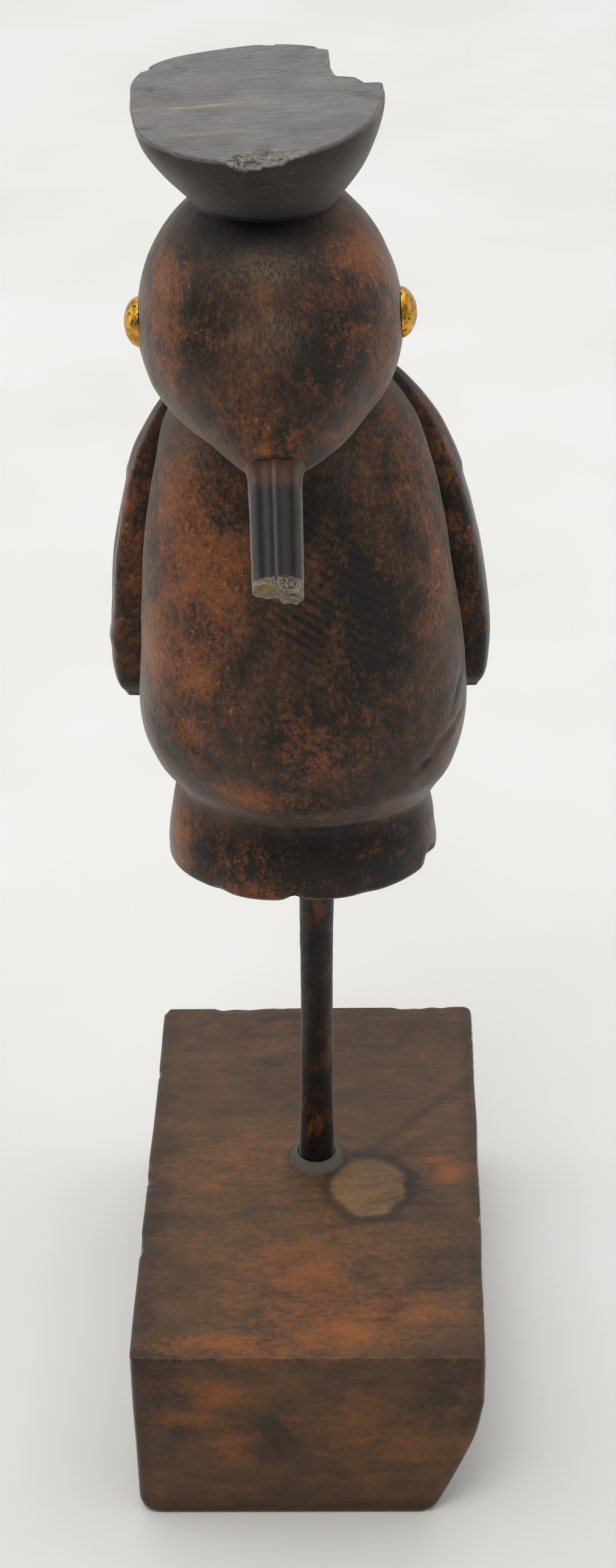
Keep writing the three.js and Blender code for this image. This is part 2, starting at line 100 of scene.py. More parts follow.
def packed(start: float, end: float, count: int, spots: tuple = ()) -> Array:
    """Spread places from start to end, closer together round some spots.

    The density is 1 plus a bell per spot, and the places are where its running sum is even.

    Args:
        start: First place.
        end: Last place.
        count: How many places.
        spots: For each spot its place, the bell's width and its height.

    Returns:
        The places, in order.
    """
    fine = np.linspace(start, end, 4000)
    density = np.ones_like(fine)
    for place, width, height in spots:
        density += height * hump(fine - place, width)
    total = np.concatenate([[0.0], np.cumsum((density[1:] + density[:-1]) / 2)])
    return np.interp(np.linspace(0, total[-1], count), total, fine)


def stack(*parts: Array) -> Array:
    """Join coordinate arrays that broadcast together into points."""
    return np.stack(np.broadcast_arrays(*parts), axis=-1)


class Grit:
    """Random relief on a lattice of values, blended smoothly between them, the same each run."""

    SIDE = 32

    def __init__(self, seed: int) -> None:
        """Draw the lattice's values from this seed."""
        self.values = np.random.default_rng(seed).uniform(-1, 1, (self.SIDE,) * 3)

    def at(self, points: Array, pitch: float) -> Array:
        """Read the relief at points, for a lattice of this pitch: the smoothly weighted mean of 8 values."""
        place = points / pitch
        cell = np.floor(place).astype(int)
        t = place - cell
        t = t * t * (3 - 2 * t)
        total = np.zeros(points.shape[:-1])
        for corner in itertools.product((0, 1), repeat=3):
            share = np.where(corner, t, 1 - t).prod(axis=-1)
            i, j, k = np.moveaxis((cell + corner) % self.SIDE, -1, 0)
            total += share * self.values[i, j, k]
        return total

    def layered(self, points: Array, pitch: float, layers: int = 3) -> Array:
        """Add up finer and fainter reliefs, each with half the pitch and half the height of the last."""
        return sum(self.at(points, pitch / 2**n) / 2**n for n in range(layers))


GRIT = Grit(7)


class Skin(Enum):
    """The finishes that faces of the bird can have, in the order of its material slots."""

    BODY = 0
    CAP = 1
    BEAK = 2


@dataclass
class Shell:
    """A closed surface. Its rows of points each run round it, and both ends close on a point."""

    rows: Array
    skin: Skin = Skin.BODY

    def to_object(self, name: str, materials: list) -> bpy.types.Object:
        """Make the object of this surface.

        Four-sided faces lie between neighbouring rows, and a fan of three-sided ones closes each end.

        Args:
            name: The object's name.
            materials: Its material slots.

        Returns:
            The object, linked to the scene.
        """
        count, around = self.rows.shape[:2]
        index = np.arange(count * around).reshape(count, around)
        ahead = np.roll(index, -1, axis=1)
        quads = np.stack([index[:-1], ahead[:-1], ahead[1:], index[1:]], axis=-1).reshape(-1, 4)
        hub = np.full(around, count * around)
        low = np.stack([hub, ahead[0], index[0]], axis=-1)
        high = np.stack([hub + 1, index[-1], ahead[-1]], axis=-1)
        middles = np.stack([self.rows[0].mean(axis=0), self.rows[-1].mean(axis=0)])
        points = np.concatenate([self.rows.reshape(-1, 3), middles])
        mesh = bpy.data.meshes.new(name)
        faces = quads.tolist() + low.tolist() + high.tolist()
        mesh.from_pydata((points * MM).tolist(), [], faces)
        for material in materials:
            mesh.materials.append(material)
        mesh.polygons.foreach_set("material_index", [self.skin.value] * len(mesh.polygons))
        mesh.update()
        piece = bpy.data.objects.new(name, mesh)
        bpy.context.scene.collection.objects.link(piece)
        return piece


def combine(base: bpy.types.Object, other: bpy.types.Object, operation: str) -> None:
    """Join another closed mesh to a base, or cut it away, and delete it.

    Args:
        base: The mesh to change.
        other: The mesh to join or cut with.
        operation: UNION or DIFFERENCE.
    """
    modifier = base.modifiers.new("combine", "BOOLEAN")
    modifier.operation = operation
    modifier.solver = "MANIFOLD"
    modifier.object = other
    graph = bpy.context.evaluated_depsgraph_get()
    mesh = bpy.data.meshes.new_from_object(base.evaluated_get(graph))
    base.modifiers.clear()
    old, base.data = base.data, mesh
    mesh.name = base.name
    bpy.data.meshes.remove(old)
    bpy.data.meshes.remove(other.data)


def points_of(piece: bpy.types.Object) -> Array:
    """Give a mesh's points in millimetres."""
    flat = np.empty(len(piece.data.vertices) * 3, np.float32)
    piece.data.vertices.foreach_get("co", flat)
    return flat.reshape(-1, 3).astype(float) / MM


def store(piece: bpy.types.Object, name: str, values: Array) -> None:
    """Keep a value for each point of a piece, for its material to read."""
    attribute = piece.data.attributes.new(name, "FLOAT", "POINT")
    attribute.data.foreach_set("value", np.clip(values, 0.0, 1.0).astype(np.float32))


def hollows(piece: bpy.types.Object, rounds: int) -> Array:
    """Say how hollow the surface is at each point.

    The mean of a point's neighbours, less the point, measured along its normal, over the neighbours'
    distance. It is above 0 in a hollow and below 0 on an edge. Each round averages it with the
    neighbours' values.

    Args:
        piece: A mesh.
        rounds: How often it is averaged.

    Returns:
        The hollowness.
    """
    mesh = piece.data
    count = len(mesh.vertices)
    edges = np.empty(len(mesh.edges) * 2, np.int32)
    mesh.edges.foreach_get("vertices", edges)
    a, b = edges.reshape(-1, 2).T
    points = points_of(piece)
    normals = np.empty(count * 3, np.float32)
    mesh.vertex_normals.foreach_get("vector", normals)
    normals = normals.reshape(-1, 3)
    apart = points[b] - points[a]
    length = np.maximum(np.linalg.norm(apart, axis=1), 0.05)
    total = np.bincount(a, (apart * normals[a]).sum(axis=1) / length, count)
    total -= np.bincount(b, (apart * normals[b]).sum(axis=1) / length, count)
    degree = np.maximum(np.bincount(a, minlength=count) + np.bincount(b, minlength=count), 1)
    value = total / degree
    for _ in range(rounds):
        near = np.bincount(a, value[b], count) + np.bincount(b, value[a], count)
        value = (value + near / degree) / 2
    return value


@dataclass(frozen=True)
class Patch:
    """A spot where the colour differs: its middle, its reach along X, Y and Z, and its strength."""

    middle: tuple[float, float, float]
    reach: tuple[float, float, float]
    strength: float = 1.0

    def at(self, points: Array) -> Array:
        """Fall off as a bell round the middle: strength * exp(-sum of (distance / reach) ** 2)."""
        away = (points - np.array(self.middle)) / np.array(self.reach)
        return self.strength * np.exp(-(away**2).sum(axis=-1))


def patchwork(patches: tuple[Patch, ...], points: Array) -> Array:
    """Lay patches over each other: 1 less the product of what each leaves."""
    left = np.ones(len(points))
    for patch in patches:
        left *= 1 - np.clip(patch.at(points), 0, 1)
    return 1 - left


class Paint:
    """A short hand for building a material's nodes."""

    def __init__(self, name: str) -> None:
        """Start a material that holds a shader and its output alone."""
        self.material = bpy.data.materials.new(name)
        self.material.use_nodes = True
        self.tree = self.material.node_tree
        self.tree.nodes.clear()
        self.shader = self.tree.nodes.new("ShaderNodeBsdfPrincipled")
        output = self.tree.nodes.new("ShaderNodeOutputMaterial")
        self.tree.links.new(self.shader.outputs[0], output.inputs["Surface"])
        self.place = self.tree.nodes.new("ShaderNodeTexCoord").outputs["Object"]

    def put(self, socket: bpy.types.NodeSocket, value: object) -> None:
        """Link a socket to another one, or set its value."""
        if isinstance(value, bpy.types.NodeSocket):
            self.tree.links.new(value, socket)
        else:
            socket.default_value = value

    def attribute(self, name: str) -> bpy.types.NodeSocket:
        """Read a value that the piece keeps at its points."""
        node = self.tree.nodes.new("ShaderNodeAttribute")
        node.attribute_name = name
        return node.outputs["Fac"]

    def mapped(self, scale: tuple[float, float, float], turn: tuple = (0, 0, 0)) -> bpy.types.NodeSocket:
        """Stretch and turn the piece's coordinates. Scale is in lattice steps per metre along each axis."""
        node = self.tree.nodes.new("ShaderNodeMapping")
        self.put(node.inputs["Vector"], self.place)
        node.inputs["Rotation"].default_value = turn
        node.inputs["Scale"].default_value = scale
        return node.outputs[0]

    def noise(self, scale: tuple[float, float, float], detail: float = 4, rough: float = 0.55,
              warp: float = 0.0) -> bpy.types.NodeSocket:
        """Make cloudy noise.

        Args:
            scale: Clouds per metre along X, Y and Z.
            detail: How many finer layers it has.
            rough: How strong the finer layers are.
            warp: How far it is drawn about.

        Returns:
            The noise, about 0.5.
        """
        node = self.tree.nodes.new("ShaderNodeTexNoise")
        self.put(node.inputs["Vector"], self.mapped(scale))
        node.inputs["Scale"].default_value = 1.0
        node.inputs["Detail"].default_value = detail
        node.inputs["Roughness"].default_value = rough
        node.inputs["Distortion"].default_value = warp
        return node.outputs["Fac"]

    def math(self, operation: str, a: object, b: object = 0.5, clamp: bool = False) -> bpy.types.NodeSocket:
        """Work out one sum on two values."""
        node = self.tree.nodes.new("ShaderNodeMath")
        node.operation = operation
        node.use_clamp = clamp
        self.put(node.inputs[0], a)
        self.put(node.inputs[1], b)
        return node.outputs[0]

    def sway(self, base: object, *terms: tuple) -> bpy.types.NodeSocket:
        """Add noises to a value, each less 0.5 and times its weight."""
        total = self.math("SUBTRACT", base, sum(weight for _, weight in terms) / 2)
        for noise, weight in terms:
            total = self.math("ADD", total, self.math("MULTIPLY", noise, weight))
        return total

    def ramp(self, value: object, low: float, high: float, start: float = 0.0,
             end: float = 1.0) -> bpy.types.NodeSocket:
        """Go smoothly from start to end while a value goes from low to high."""
        node = self.tree.nodes.new("ShaderNodeMapRange")
        node.interpolation_type = "SMOOTHSTEP"
        for name, given in (("Value", value), ("From Min", low), ("From Max", high),
                            ("To Min", start), ("To Max", end)):
            self.put(node.inputs[name], given)
        return node.outputs[0]

    def bands(self, scale: float, tilt: float) -> bpy.types.NodeSocket:
        """Make even bands square to Z, tilted about Y by these degrees."""
        node = self.tree.nodes.new("ShaderNodeTexWave")
        node.wave_type, node.bands_direction = "BANDS", "Z"
        self.put(node.inputs["Vector"], self.mapped((1, 1, 1), (0, math.radians(tilt), 0)))
        for name, value in (("Scale", scale), ("Distortion", 1.5), ("Detail", 2.0)):
            node.inputs[name].default_value = value
        return node.outputs["Fac"]

    def mix(self, share: object, a: object, b: object) -> bpy.types.NodeSocket:
        """Blend colour a into colour b by a share."""
        node = self.tree.nodes.new("ShaderNodeMix")
        node.data_type = "RGBA"
        self.put(node.inputs[0], share)
        self.put(node.inputs[6], a)
        self.put(node.inputs[7], b)
        return node.outputs[2]

    def bump(self, height: object, depth: float, strength: float = 1.0,
             under: object = None) -> bpy.types.NodeSocket:
        """Turn a height into dents.

        Args:
            height: The relief, from 0 to 1.
            depth: Its depth in millimetres.
            strength: How much of it shows.
            under: Dents that it lies on.

        Returns:
            The normal.
        """
        node = self.tree.nodes.new("ShaderNodeBump")
        node.inputs["Strength"].default_value = strength
        node.inputs["Distance"].default_value = depth * MM
        self.put(node.inputs["Height"], height)
        if under is not None:
            self.put(node.inputs["Normal"], under)
        return node.outputs[0]

    def finish(self, colour: object, roughness: object, normal: object,
               **settings: object) -> bpy.types.Material:
        """Wire the shader, with other settings by their sockets' names, and give the material."""
        self.put(self.shader.inputs["Base Color"], colour)
        self.put(self.shader.inputs["Roughness"], roughness)
        self.put(self.shader.inputs["Normal"], normal)
        for name, value in settings.items():
            self.put(self.shader.inputs[name.replace("_", " ")], value)
        return self.material


WAXED = {
    "Specular_IOR_Level": 0.3, "Sheen_Weight": 0.55, "Sheen_Roughness": 0.25,
    "Sheen_Tint": (1.0, 0.94, 0.87, 1.0),
}


def linear(red: int, green: int, blue: int) -> tuple[float, float, float, float]:
    """Turn a screen colour of 0 to 255 into the linear one that shaders take."""
    shares = (np.array([red, green, blue]) / 255.0)
    dark = shares <= 0.04045
    value = np.where(dark, shares / 12.92, ((shares + 0.055) / 1.055) ** 2.4)
    return (*(float(v) for v in value), 1.0)


@dataclass(frozen=True)
class StainedWood:
    """Dark stain over brown wood, rubbed through to rust orange, with a thin wax."""

    name: str = "stained_wood"
    stain: tuple = linear(24, 17, 12)
    brown: tuple = linear(86, 58, 38)
    rust: tuple = linear(144, 80, 38)
    ochre: tuple = linear(176, 118, 62)
    # Pale dust, also used as a painted sheen.
    dust_and_sheen_colour: tuple = linear(140, 126, 106)
    grime_and_shade: tuple = linear(13, 10, 8)

    def material(self) -> bpy.types.Material:
        """Make the material.

        Clouds of three sizes blend stain and brown, darkened by dark patches and painted shade, and rust
        where its patch outweighs them. Ochre dots lie on the rust, dark ones everywhere, dust and painted
        sheen on the fibres, and hollows get painted shade with some grime.

        Returns:
            The material.
        """
        paint = Paint(self.name)
        broad = paint.noise((110, 110, 80), 3, 0.55, 0.5)
        middle = paint.noise((400, 400, 320), 4, 0.65, 0.3)
        speck = paint.noise((1500, 1500, 1100), 4, 0.7)
        dots = paint.noise((1100, 1100, 900), 3, 0.7)
        fibre = paint.noise((3000, 3000, 700), 3, 0.6)
        tone = paint.sway(0.5, (broad, 1.6), (middle, 1.3), (speck, 1.4))
        # Darker patches from the attribute, partly painted shade.
        tone = paint.math("SUBTRACT", tone, paint.attribute("dark_patches_and_shade"), True)
        colour = paint.mix(tone, self.stain, self.brown)
        cover = paint.sway(paint.attribute("rust"), (broad, 1.1), (middle, 1.3), (speck, 2.0))
        colour = paint.mix(paint.ramp(cover, 0.05, 1.15, 0, 0.85), colour, self.rust)
        bright = paint.math("MULTIPLY", paint.ramp(dots, 0.6, 0.7), paint.ramp(cover, 0.2, 0.7, 0, 0.8))
        colour = paint.mix(bright, colour, self.ochre)
        colour = paint.mix(paint.ramp(dots, 0.42, 0.3, 0, 0.7), colour, self.stain)
        # Pale dust on the fibres, partly a painted sheen on the head and shoulders.
        dust_and_sheen = paint.math("MULTIPLY", paint.attribute("dust_and_sheen"), paint.ramp(fibre, 0.3, 0.65))
        colour = paint.mix(dust_and_sheen, colour, self.dust_and_sheen_colour)
        # Painted shade, with some grime, in hollows and creases and under the belly.
        colour = paint.mix(paint.attribute("grime_and_shade"), colour, self.grime_and_shade)
        rasp = paint.math("MULTIPLY", paint.bands(190, -34), paint.attribute("rasp"))
        normal = paint.bump(rasp, 0.25)
        normal = paint.bump(speck, 0.25, 0.8, normal)
        normal = paint.bump(fibre, 0.08, 0.7, normal)
        return paint.finish(colour, paint.ramp(speck, 0.3, 0.7, 0.36, 0.56), normal, **WAXED)


@dataclass(frozen=True)
class CapWood:
    """Greyed wood with a painted sheen on its top, fine grain along X, and pale rough fibres where it has
    broken.
    """

    name: str = "cap_wood"
    dark: tuple = linear(26, 22, 18)
    side: tuple = linear(48, 42, 35)
    # The top face's greys, partly a painted sheen.
    low: tuple = linear(90, 90, 89)
    high: tuple = linear(126, 126, 124)
    tan: tuple = linear(186, 158, 104)
    break_pale: tuple = linear(176, 168, 158)
    break_dark: tuple = linear(60, 46, 36)
    red: tuple = linear(104, 58, 38)
    grime_and_shade: tuple = linear(10, 8, 6)

    def material(self) -> bpy.types.Material:
        """Make the material: grey, partly a painted sheen, where the attribute `top` is 1, darker elsewhere,
        with tan grain.
        """
        paint = Paint(self.name)
        top = paint.attribute("top")
        grain = paint.noise((140, 2200, 2200), 6, 0.72, 0.3)
        cloud = paint.noise((120, 160, 160), 4, 0.6, 0.4)
        speck = paint.noise((1100, 2200, 2200), 4, 0.7)
        side = paint.mix(paint.sway(0.4, (cloud, 2.0), (speck, 2.4)), self.dark, self.side)
        # The top face is painted a lighter grey than the flare: partly greyed wood, partly a painted sheen
        # from above.
        face = paint.mix(paint.sway(0.5, (cloud, 1.4), (grain, 2.4), (speck, 1.0)), self.low, self.high)
        colour = paint.mix(top, side, face)
        flecks = paint.math("MULTIPLY", paint.ramp(speck, 0.6, 0.72), paint.ramp(top, 0.0, 1.0, 0.3, 0.6))
        colour = paint.mix(flecks, colour, self.tan)
        streak = paint.math("MULTIPLY", paint.attribute("streak"), paint.ramp(grain, 0.35, 0.65))
        colour = paint.mix(streak, colour, self.tan)
        red = paint.math("MULTIPLY", paint.attribute("rust"), paint.ramp(speck, 0.3, 0.6))
        colour = paint.mix(red, colour, self.red)
        # Painted shade in the crease under the cap, and the cap's dark worn rim.
        colour = paint.mix(paint.attribute("grime_and_shade"), colour, self.grime_and_shade)
        fresh = paint.attribute("fresh")
        splinter = paint.noise((900, 1500, 1500), 6, 0.75, 0.5)
        broken = paint.mix(paint.ramp(splinter, 0.36, 0.56), self.break_dark, self.break_pale)
        colour = paint.mix(fresh, colour, broken)
        roughness = paint.ramp(speck, 0.3, 0.7, 0.42, 0.56)
        roughness = paint.math("SUBTRACT", roughness, paint.math("MULTIPLY", fresh, 0.2))
        normal = paint.bump(grain, 0.14, 0.8)
        normal = paint.bump(speck, 0.12, 0.8, normal)
        normal = paint.bump(paint.math("MULTIPLY", splinter, fresh), 0.7, 1.0, normal)
        return paint.finish(colour, roughness, normal, **WAXED)


@dataclass(frozen=True)
class BeakHorn:
    """A smooth dark bar like horn, with an ochre pit where it has snapped, a painted highlight on the break's
    rim and a painted reflection along its sides.
    """

    name: str = "beak_horn"
    core: tuple = linear(26, 23, 17)
    # Painted reflection along the beak's sides.
    edge: tuple = linear(106, 99, 88)
    ochre: tuple = linear(178, 146, 78)
    pale: tuple = linear(164, 152, 134)
    line: tuple = linear(70, 56, 42)
    root: tuple = linear(72, 46, 30)

    def material(self) -> bpy.types.Material:
        """Make the material: paler along both sides as a painted reflection, and broken wood where `fresh` is
        1.
        """
        paint = Paint(self.name)
        fine = paint.noise((900, 400, 400), 4, 0.6)
        speck = paint.noise((2400, 2400, 2400), 4, 0.7)
        # Painted reflection: the beak is paler along both sides, where it turns away.
        side = paint.sway(paint.attribute("side"), (speck, 0.8))
        colour = paint.mix(paint.ramp(side, 0.3, 1.2, 0, 0.8), self.core, self.edge)
        colour = paint.mix(paint.ramp(fine, 0.55, 0.8, 0, 0.2), colour, self.line)
        root = paint.sway(paint.attribute("root"), (speck, 0.9), (fine, 0.6))
        colour = paint.mix(paint.ramp(root, 0.3, 0.7), colour, self.root)
        fresh = paint.attribute("fresh")
        broken = paint.mix(paint.ramp(speck, 0.4, 0.64), self.line, self.pale)
        broken = paint.mix(paint.attribute("pit"), broken, self.ochre)
        colour = paint.mix(fresh, colour, broken)
        # Painted highlight on the break's rim, and pale dust, where this attribute is set.
        colour = paint.mix(paint.attribute("dust_and_sheen"), colour, self.pale)
        # Painted shade in the crease where the beak meets the head.
        colour = paint.mix(paint.attribute("grime_and_shade"), colour, linear(14, 11, 8))
        normal = paint.bump(fine, 0.03, 0.4)
        normal = paint.bump(paint.math("MULTIPLY", speck, fresh), 0.5, 1.0, normal)
        return paint.finish(colour, paint.ramp(fresh, 0.0, 1.0, 0.34, 0.6), normal, **WAXED)


@dataclass(frozen=True)
class OldBrass:
    """Dull brass of a tack head, spotted brown."""

    name: str = "old_brass"
    bright: tuple = linear(222, 168, 68)
    dull: tuple = linear(172, 122, 46)
    spot: tuple = linear(66, 44, 20)

    def material(self) -> bpy.types.Material:
        """Make the material: bright and dull clouds, brown spots that are rougher."""
        paint = Paint(self.name)
        cloud = paint.noise((450, 450, 450), 4, 0.6, 0.5)
        speck = paint.noise((1500, 1500, 1500), 4, 0.65, 0.4)
        colour = paint.mix(paint.ramp(cloud, 0.35, 0.65), self.dull, self.bright)
        spots = paint.ramp(speck, 0.54, 0.66)
        colour = paint.mix(spots, colour, self.spot)
        roughness = paint.ramp(spots, 0, 1, 0.36, 0.6)
        normal = paint.bump(cloud, 0.25, 0.6)
        normal = paint.bump(speck, 0.06, 0.6, normal)
        return paint.finish(colour, roughness, normal, Metallic=1.0)


@dataclass(frozen=True)
class RodStain:
    """Almost black stain with rust orange where the rod has been rubbed."""

    name: str = "rod_stain"
    stain: tuple = linear(16, 11, 8)
    brown: tuple = linear(42, 27, 19)
    rust: tuple = linear(112, 60, 34)

    def material(self) -> bpy.types.Material:
        """Make the material: mottled clouds and rust patches by the attribute `rust`."""
        paint = Paint(self.name)
        cloud = paint.noise((260, 260, 180), 5, 0.65, 0.5)
        speck = paint.noise((1100, 1100, 700), 5, 0.7)
        colour = paint.mix(paint.ramp(cloud, 0.38, 0.66), self.stain, self.brown)
        cover = paint.sway(paint.attribute("rust"), (cloud, 2.0), (speck, 1.6))
        colour = paint.mix(paint.ramp(cover, 0.2, 1.0, 0, 0.9), colour, self.rust)
        roughness = paint.ramp(speck, 0.3, 0.7, 0.42, 0.6)
        return paint.finish(colour, roughness, paint.bump(speck, 0.2, 0.8), **WAXED)


@dataclass(frozen=True)
class BlockWood:
    """Brown stain over grain that runs along X, a pale round knot, and rubbed orange places."""

    name: str = "block_wood"
    dark: tuple = linear(54, 38, 26)
    brown: tuple = linear(102, 72, 44)
    rust: tuple = linear(144, 82, 34)
    knot: tuple = linear(132, 100, 62)
    filler: tuple = linear(84, 76, 66)
    grime_and_shade: tuple = linear(24, 20, 17)
    knot_middle: tuple = (10.6, -5.6)
    knot_reach: tuple = (7.4, 9.2)

    def material(self) -> bpy.types.Material:
        """Make the material.

        Clouds drawn out along X blend dark and brown, rust shows where its patch outweighs a speckle,
        and the knot is an ellipse with a dark outline.

        Returns:
            The material.
        """
        paint = Paint(self.name)
        broad = paint.noise((55, 110, 110), 4, 0.6, 0.6)
        middle = paint.noise((190, 300, 300), 4, 0.65, 0.4)
        grain = paint.noise((60, 900, 500), 5, 0.66, 0.4)
        speck = paint.noise((900, 1100, 1100), 4, 0.7, 0.2)
        tone = paint.sway(0.6, (broad, 1.0), (middle, 1.0), (grain, 0.8), (speck, 1.2))
        # Darker patches from the attribute, partly painted shade along the edges.
        tone = paint.math("SUBTRACT", tone, paint.attribute("dark_patches_and_shade"), True)
        colour = paint.mix(tone, self.dark, self.brown)
        cover = paint.sway(paint.attribute("rust"), (broad, 0.8), (middle, 1.2), (speck, 1.3))
        colour = paint.mix(paint.ramp(cover, 0.0, 1.15, 0, 0.85), colour, self.rust)
        knot, outline = self.knot_masks(paint, broad)
        shade = paint.sway(0.45, (middle, 1.4), (speck, 0.8))
        colour = paint.mix(paint.math("MULTIPLY", knot, shade, True), colour, self.knot)
        colour = paint.mix(paint.math("MULTIPLY", outline, 0.6), colour, self.grime_and_shade)
        filler = paint.sway(paint.attribute("filler"), (middle, 0.6))
        colour = paint.mix(paint.ramp(filler, 0.3, 0.8, 0, 0.85), colour, self.filler)
        # Dark grain lines, a dark ring round the filler, and painted shade on the sides and along the bottom.
        colour = paint.mix(paint.attribute("grime_and_shade"), colour, self.grime_and_shade)
        roughness = paint.ramp(speck, 0.3, 0.7, 0.46, 0.6)
        roughness = paint.math("SUBTRACT", roughness, paint.math("MULTIPLY", paint.attribute("shine"), 0.2))
        normal = paint.bump(grain, 0.16, 0.6)
        normal = paint.bump(speck, 0.2, 0.7, normal)
        return paint.finish(colour, roughness, normal, **WAXED)

    def knot_masks(self, paint: Paint, cloud: object) -> tuple:
        """Say where the knot and its outline are.

        The distance from the knot's middle over its reach, drawn about a little by a cloud: the knot
        is where that is under 1 on the top face, and the outline where it is about 1.

        Args:
            paint: The material's nodes.
            cloud: The noise that draws it about.

        Returns:
            The knot's share and the outline's.
        """
        node = paint.tree.nodes.new("ShaderNodeSeparateXYZ")
        paint.put(node.inputs[0], paint.place)
        shares = []
        for axis in range(2):
            away = paint.math("SUBTRACT", node.outputs[axis], self.knot_middle[axis] * MM)
            away = paint.math("DIVIDE", away, self.knot_reach[axis] * MM)
            shares.append(paint.math("POWER", paint.math("ABSOLUTE", away), 2.0))
        distance = paint.math("SQRT", paint.math("ADD", shares[0], shares[1]))
        distance = paint.sway(distance, (cloud, 0.7))
        above = paint.ramp(node.outputs[2], 0.0372, 0.0379)
        inside = paint.math("MULTIPLY", paint.ramp(distance, 1.05, 0.8), above)
        ring = paint.math("MULTIPLY", paint.ramp(distance, 0.84, 1.02), paint.ramp(distance, 1.35, 1.06))
        return inside, paint.math("MULTIPLY", ring, above)


@dataclass(frozen=True)
class BodyForm:
    """The body and the oval foot under it, as a stack of rounded outlines."""

    stations: tuple = (
        (109.3, 22.9, 17.4, 17.4, -0.3),
        (110.6, 24.0, 18.6, 18.8, -0.3),
        (116.0, 23.6, 18.4, 18.6, -0.4),
        (122.6, 22.7, 16.2, 18.0, -0.1),
        (126.2, 23.3, 18.6, 19.8, 1.2),
        (131.4, 26.5, 22.6, 24.2, 1.1),
        (138.5, 28.5, 24.8, 27.2, 0.6),
        (148.0, 28.6, 25.0, 28.2, 0.7),
        (162.0, 27.6, 23.4, 27.0, 0.8),
        (176.0, 25.7, 20.6, 24.4, 0.5),
        (188.0, 23.0, 17.4, 21.0, 0.1),
        (197.0, 19.5, 14.2, 17.4, -0.2),
        (203.0, 14.0, 10.5, 13.4, -0.5),
        (206.5, 6.0, 5.0, 6.0, -0.8),
    )
    centre_y: float = 4.4
    fullness: float = 2.15
    rows: int = 128
    around: int = 250
    foot_rows: int = 9
    groove_depth: float = 1.7
    groove_width: float = 2.6

    def at(self, angle: Array, height: Array, outside: Array | float = 0.0) -> Array:
        """Give points on the body, or outside it.

        Args:
            angle: Round the body from its front, towards +X, in radians.
            height: Above the floor.
            outside: How far outwards, level with the floor.

        Returns:
            The points.
        """
        table = np.array(self.stations)
        half = curve(table, 1, height)
        reach = np.where(np.cos(angle) > 0, curve(table, 2, height), curve(table, 3, height))
        along, across = rounded(angle, self.fullness)
        nx, ny = across / half, -along / reach
        length = np.hypot(nx, ny)
        x = curve(table, 4, height) + half * across + outside * nx / length
        y = self.centre_y - reach * along + outside * ny / length
        return stack(x, y, height)

    def relief(self, angle: Array, height: Array, wings: "WingForm") -> Array:
        """Say how far the carving stands in or out.

        A groove runs in front of each wing: the surface falls over a rounded corner and stays low up
        to the wing. Broad dents are left by the knife, and two cuts cross the lower flank.

        Args:
            angle: Round the body, in radians.
            height: Above the floor.
            wings: The wings, for where their leading edges are.

        Returns:
            The relief, above 0 outwards.
        """
        degrees = np.degrees(angle)
        arc = math.radians(1) * 27
        total = np.zeros(np.broadcast(angle, height).shape)
        for side in (1, -1):
            lead = wings.lead_angle(height)
            ahead = (lead - degrees * side) * arc
            fall = step(ahead, self.groove_width, self.groove_width * 0.35)
            fall *= step(degrees * side, 20, 50) * step(-degrees * side, -150, -120)
            end = step(height, 137, 146) * step(-height, -206, -199)
            total -= self.groove_depth * fall * end
        points = self.at(angle, height)
        total += 0.35 * GRIT.at(points, 17) + 0.16 * GRIT.layered(points + 50, 7, 2)
        for start, end, depth, width in FLANK_CUTS:
            total -= depth * along_line(points, start, end, width)
        return total * step(height, 109.3, 112)

    def shell(self, wings: "WingForm") -> Shell:
        """Give the carved surface.

        Args:
            wings: The wings, for the grooves in front of them.

        Returns:
            The surface, its rows from the middle of the foot's underside upwards.
        """
        lead = (math.radians(82), math.radians(9), 1.6)
        angle = packed(-math.pi, math.pi, self.around + 1, (lead, (-lead[0], *lead[1:])))[:-1]
        spots = ((110, 2.5, 1.8), (124, 5, 0.5), (204, 4, 0.8))
        height = packed(self.stations[0][0], self.stations[-1][0], self.rows, spots)
        grid_angle, grid_height = angle[None, :], height[:, None]
        rows = self.at(grid_angle, grid_height, self.relief(grid_angle, grid_height, wings))
        rows = self.worn_foot(rows)
        share = np.linspace(0.06, 1, self.foot_rows, endpoint=False)[:, None, None]
        middle = rows[0].mean(axis=0)
        under = middle + share * (rows[0] - middle)
        under[..., 2] += 0.12 * (1 + GRIT.at(under, 6.0)) * (1 - share[..., 0])
        return Shell(np.concatenate([under, rows]))

    def worn_foot(self, rows: Array) -> Array:
        """Wear the foot's lower edge: it waves a little, and small chips are out of it.

        Near the lowest height the points move inwards and up by a bell round each chip.
        """
        low = step(-rows[..., 2], -113.5, -110.5)
        wave = 0.35 * GRIT.at(rows, 9.0) * low
        out = rows.copy()
        out[..., 2] += wave
        for x, y, reach, lift in FOOT_CHIPS:
            near = np.exp(-(((rows[..., 0] - x) ** 2 + (rows[..., 1] - y) ** 2) / reach**2)) * low
            out[..., 2] += lift * near
            inwards = np.array([self.stations[0][4] - x, self.centre_y - y])
            out[..., :2] += inwards / np.hypot(*inwards) * (0.5 * lift * near)[..., None]
        return out


FLANK_CUTS = (
    ((28.6, -2.6, 142.4), (23.7, -11.4, 139.8), 0.7, 0.8),
    ((23.6, -11.2, 138.0), (20.4, -13.9, 136.8), 0.5, 0.7),
    ((28.3, -3.0, 151.0), (26.1, -8.4, 144.4), 0.3, 0.8),
    ((-21.4, -12.6, 149.0), (-15.6, -16.9, 141.8), 0.35, 1.2),
)
FOOT_CHIPS = (
    (22.7, -1.3, 1.9, 2.2), (-1.4, -14.0, 1.5, 1.2), (12.0, -13.0, 2.2, 0.5), (-15.0, -11.0, 1.6, 0.5),
)


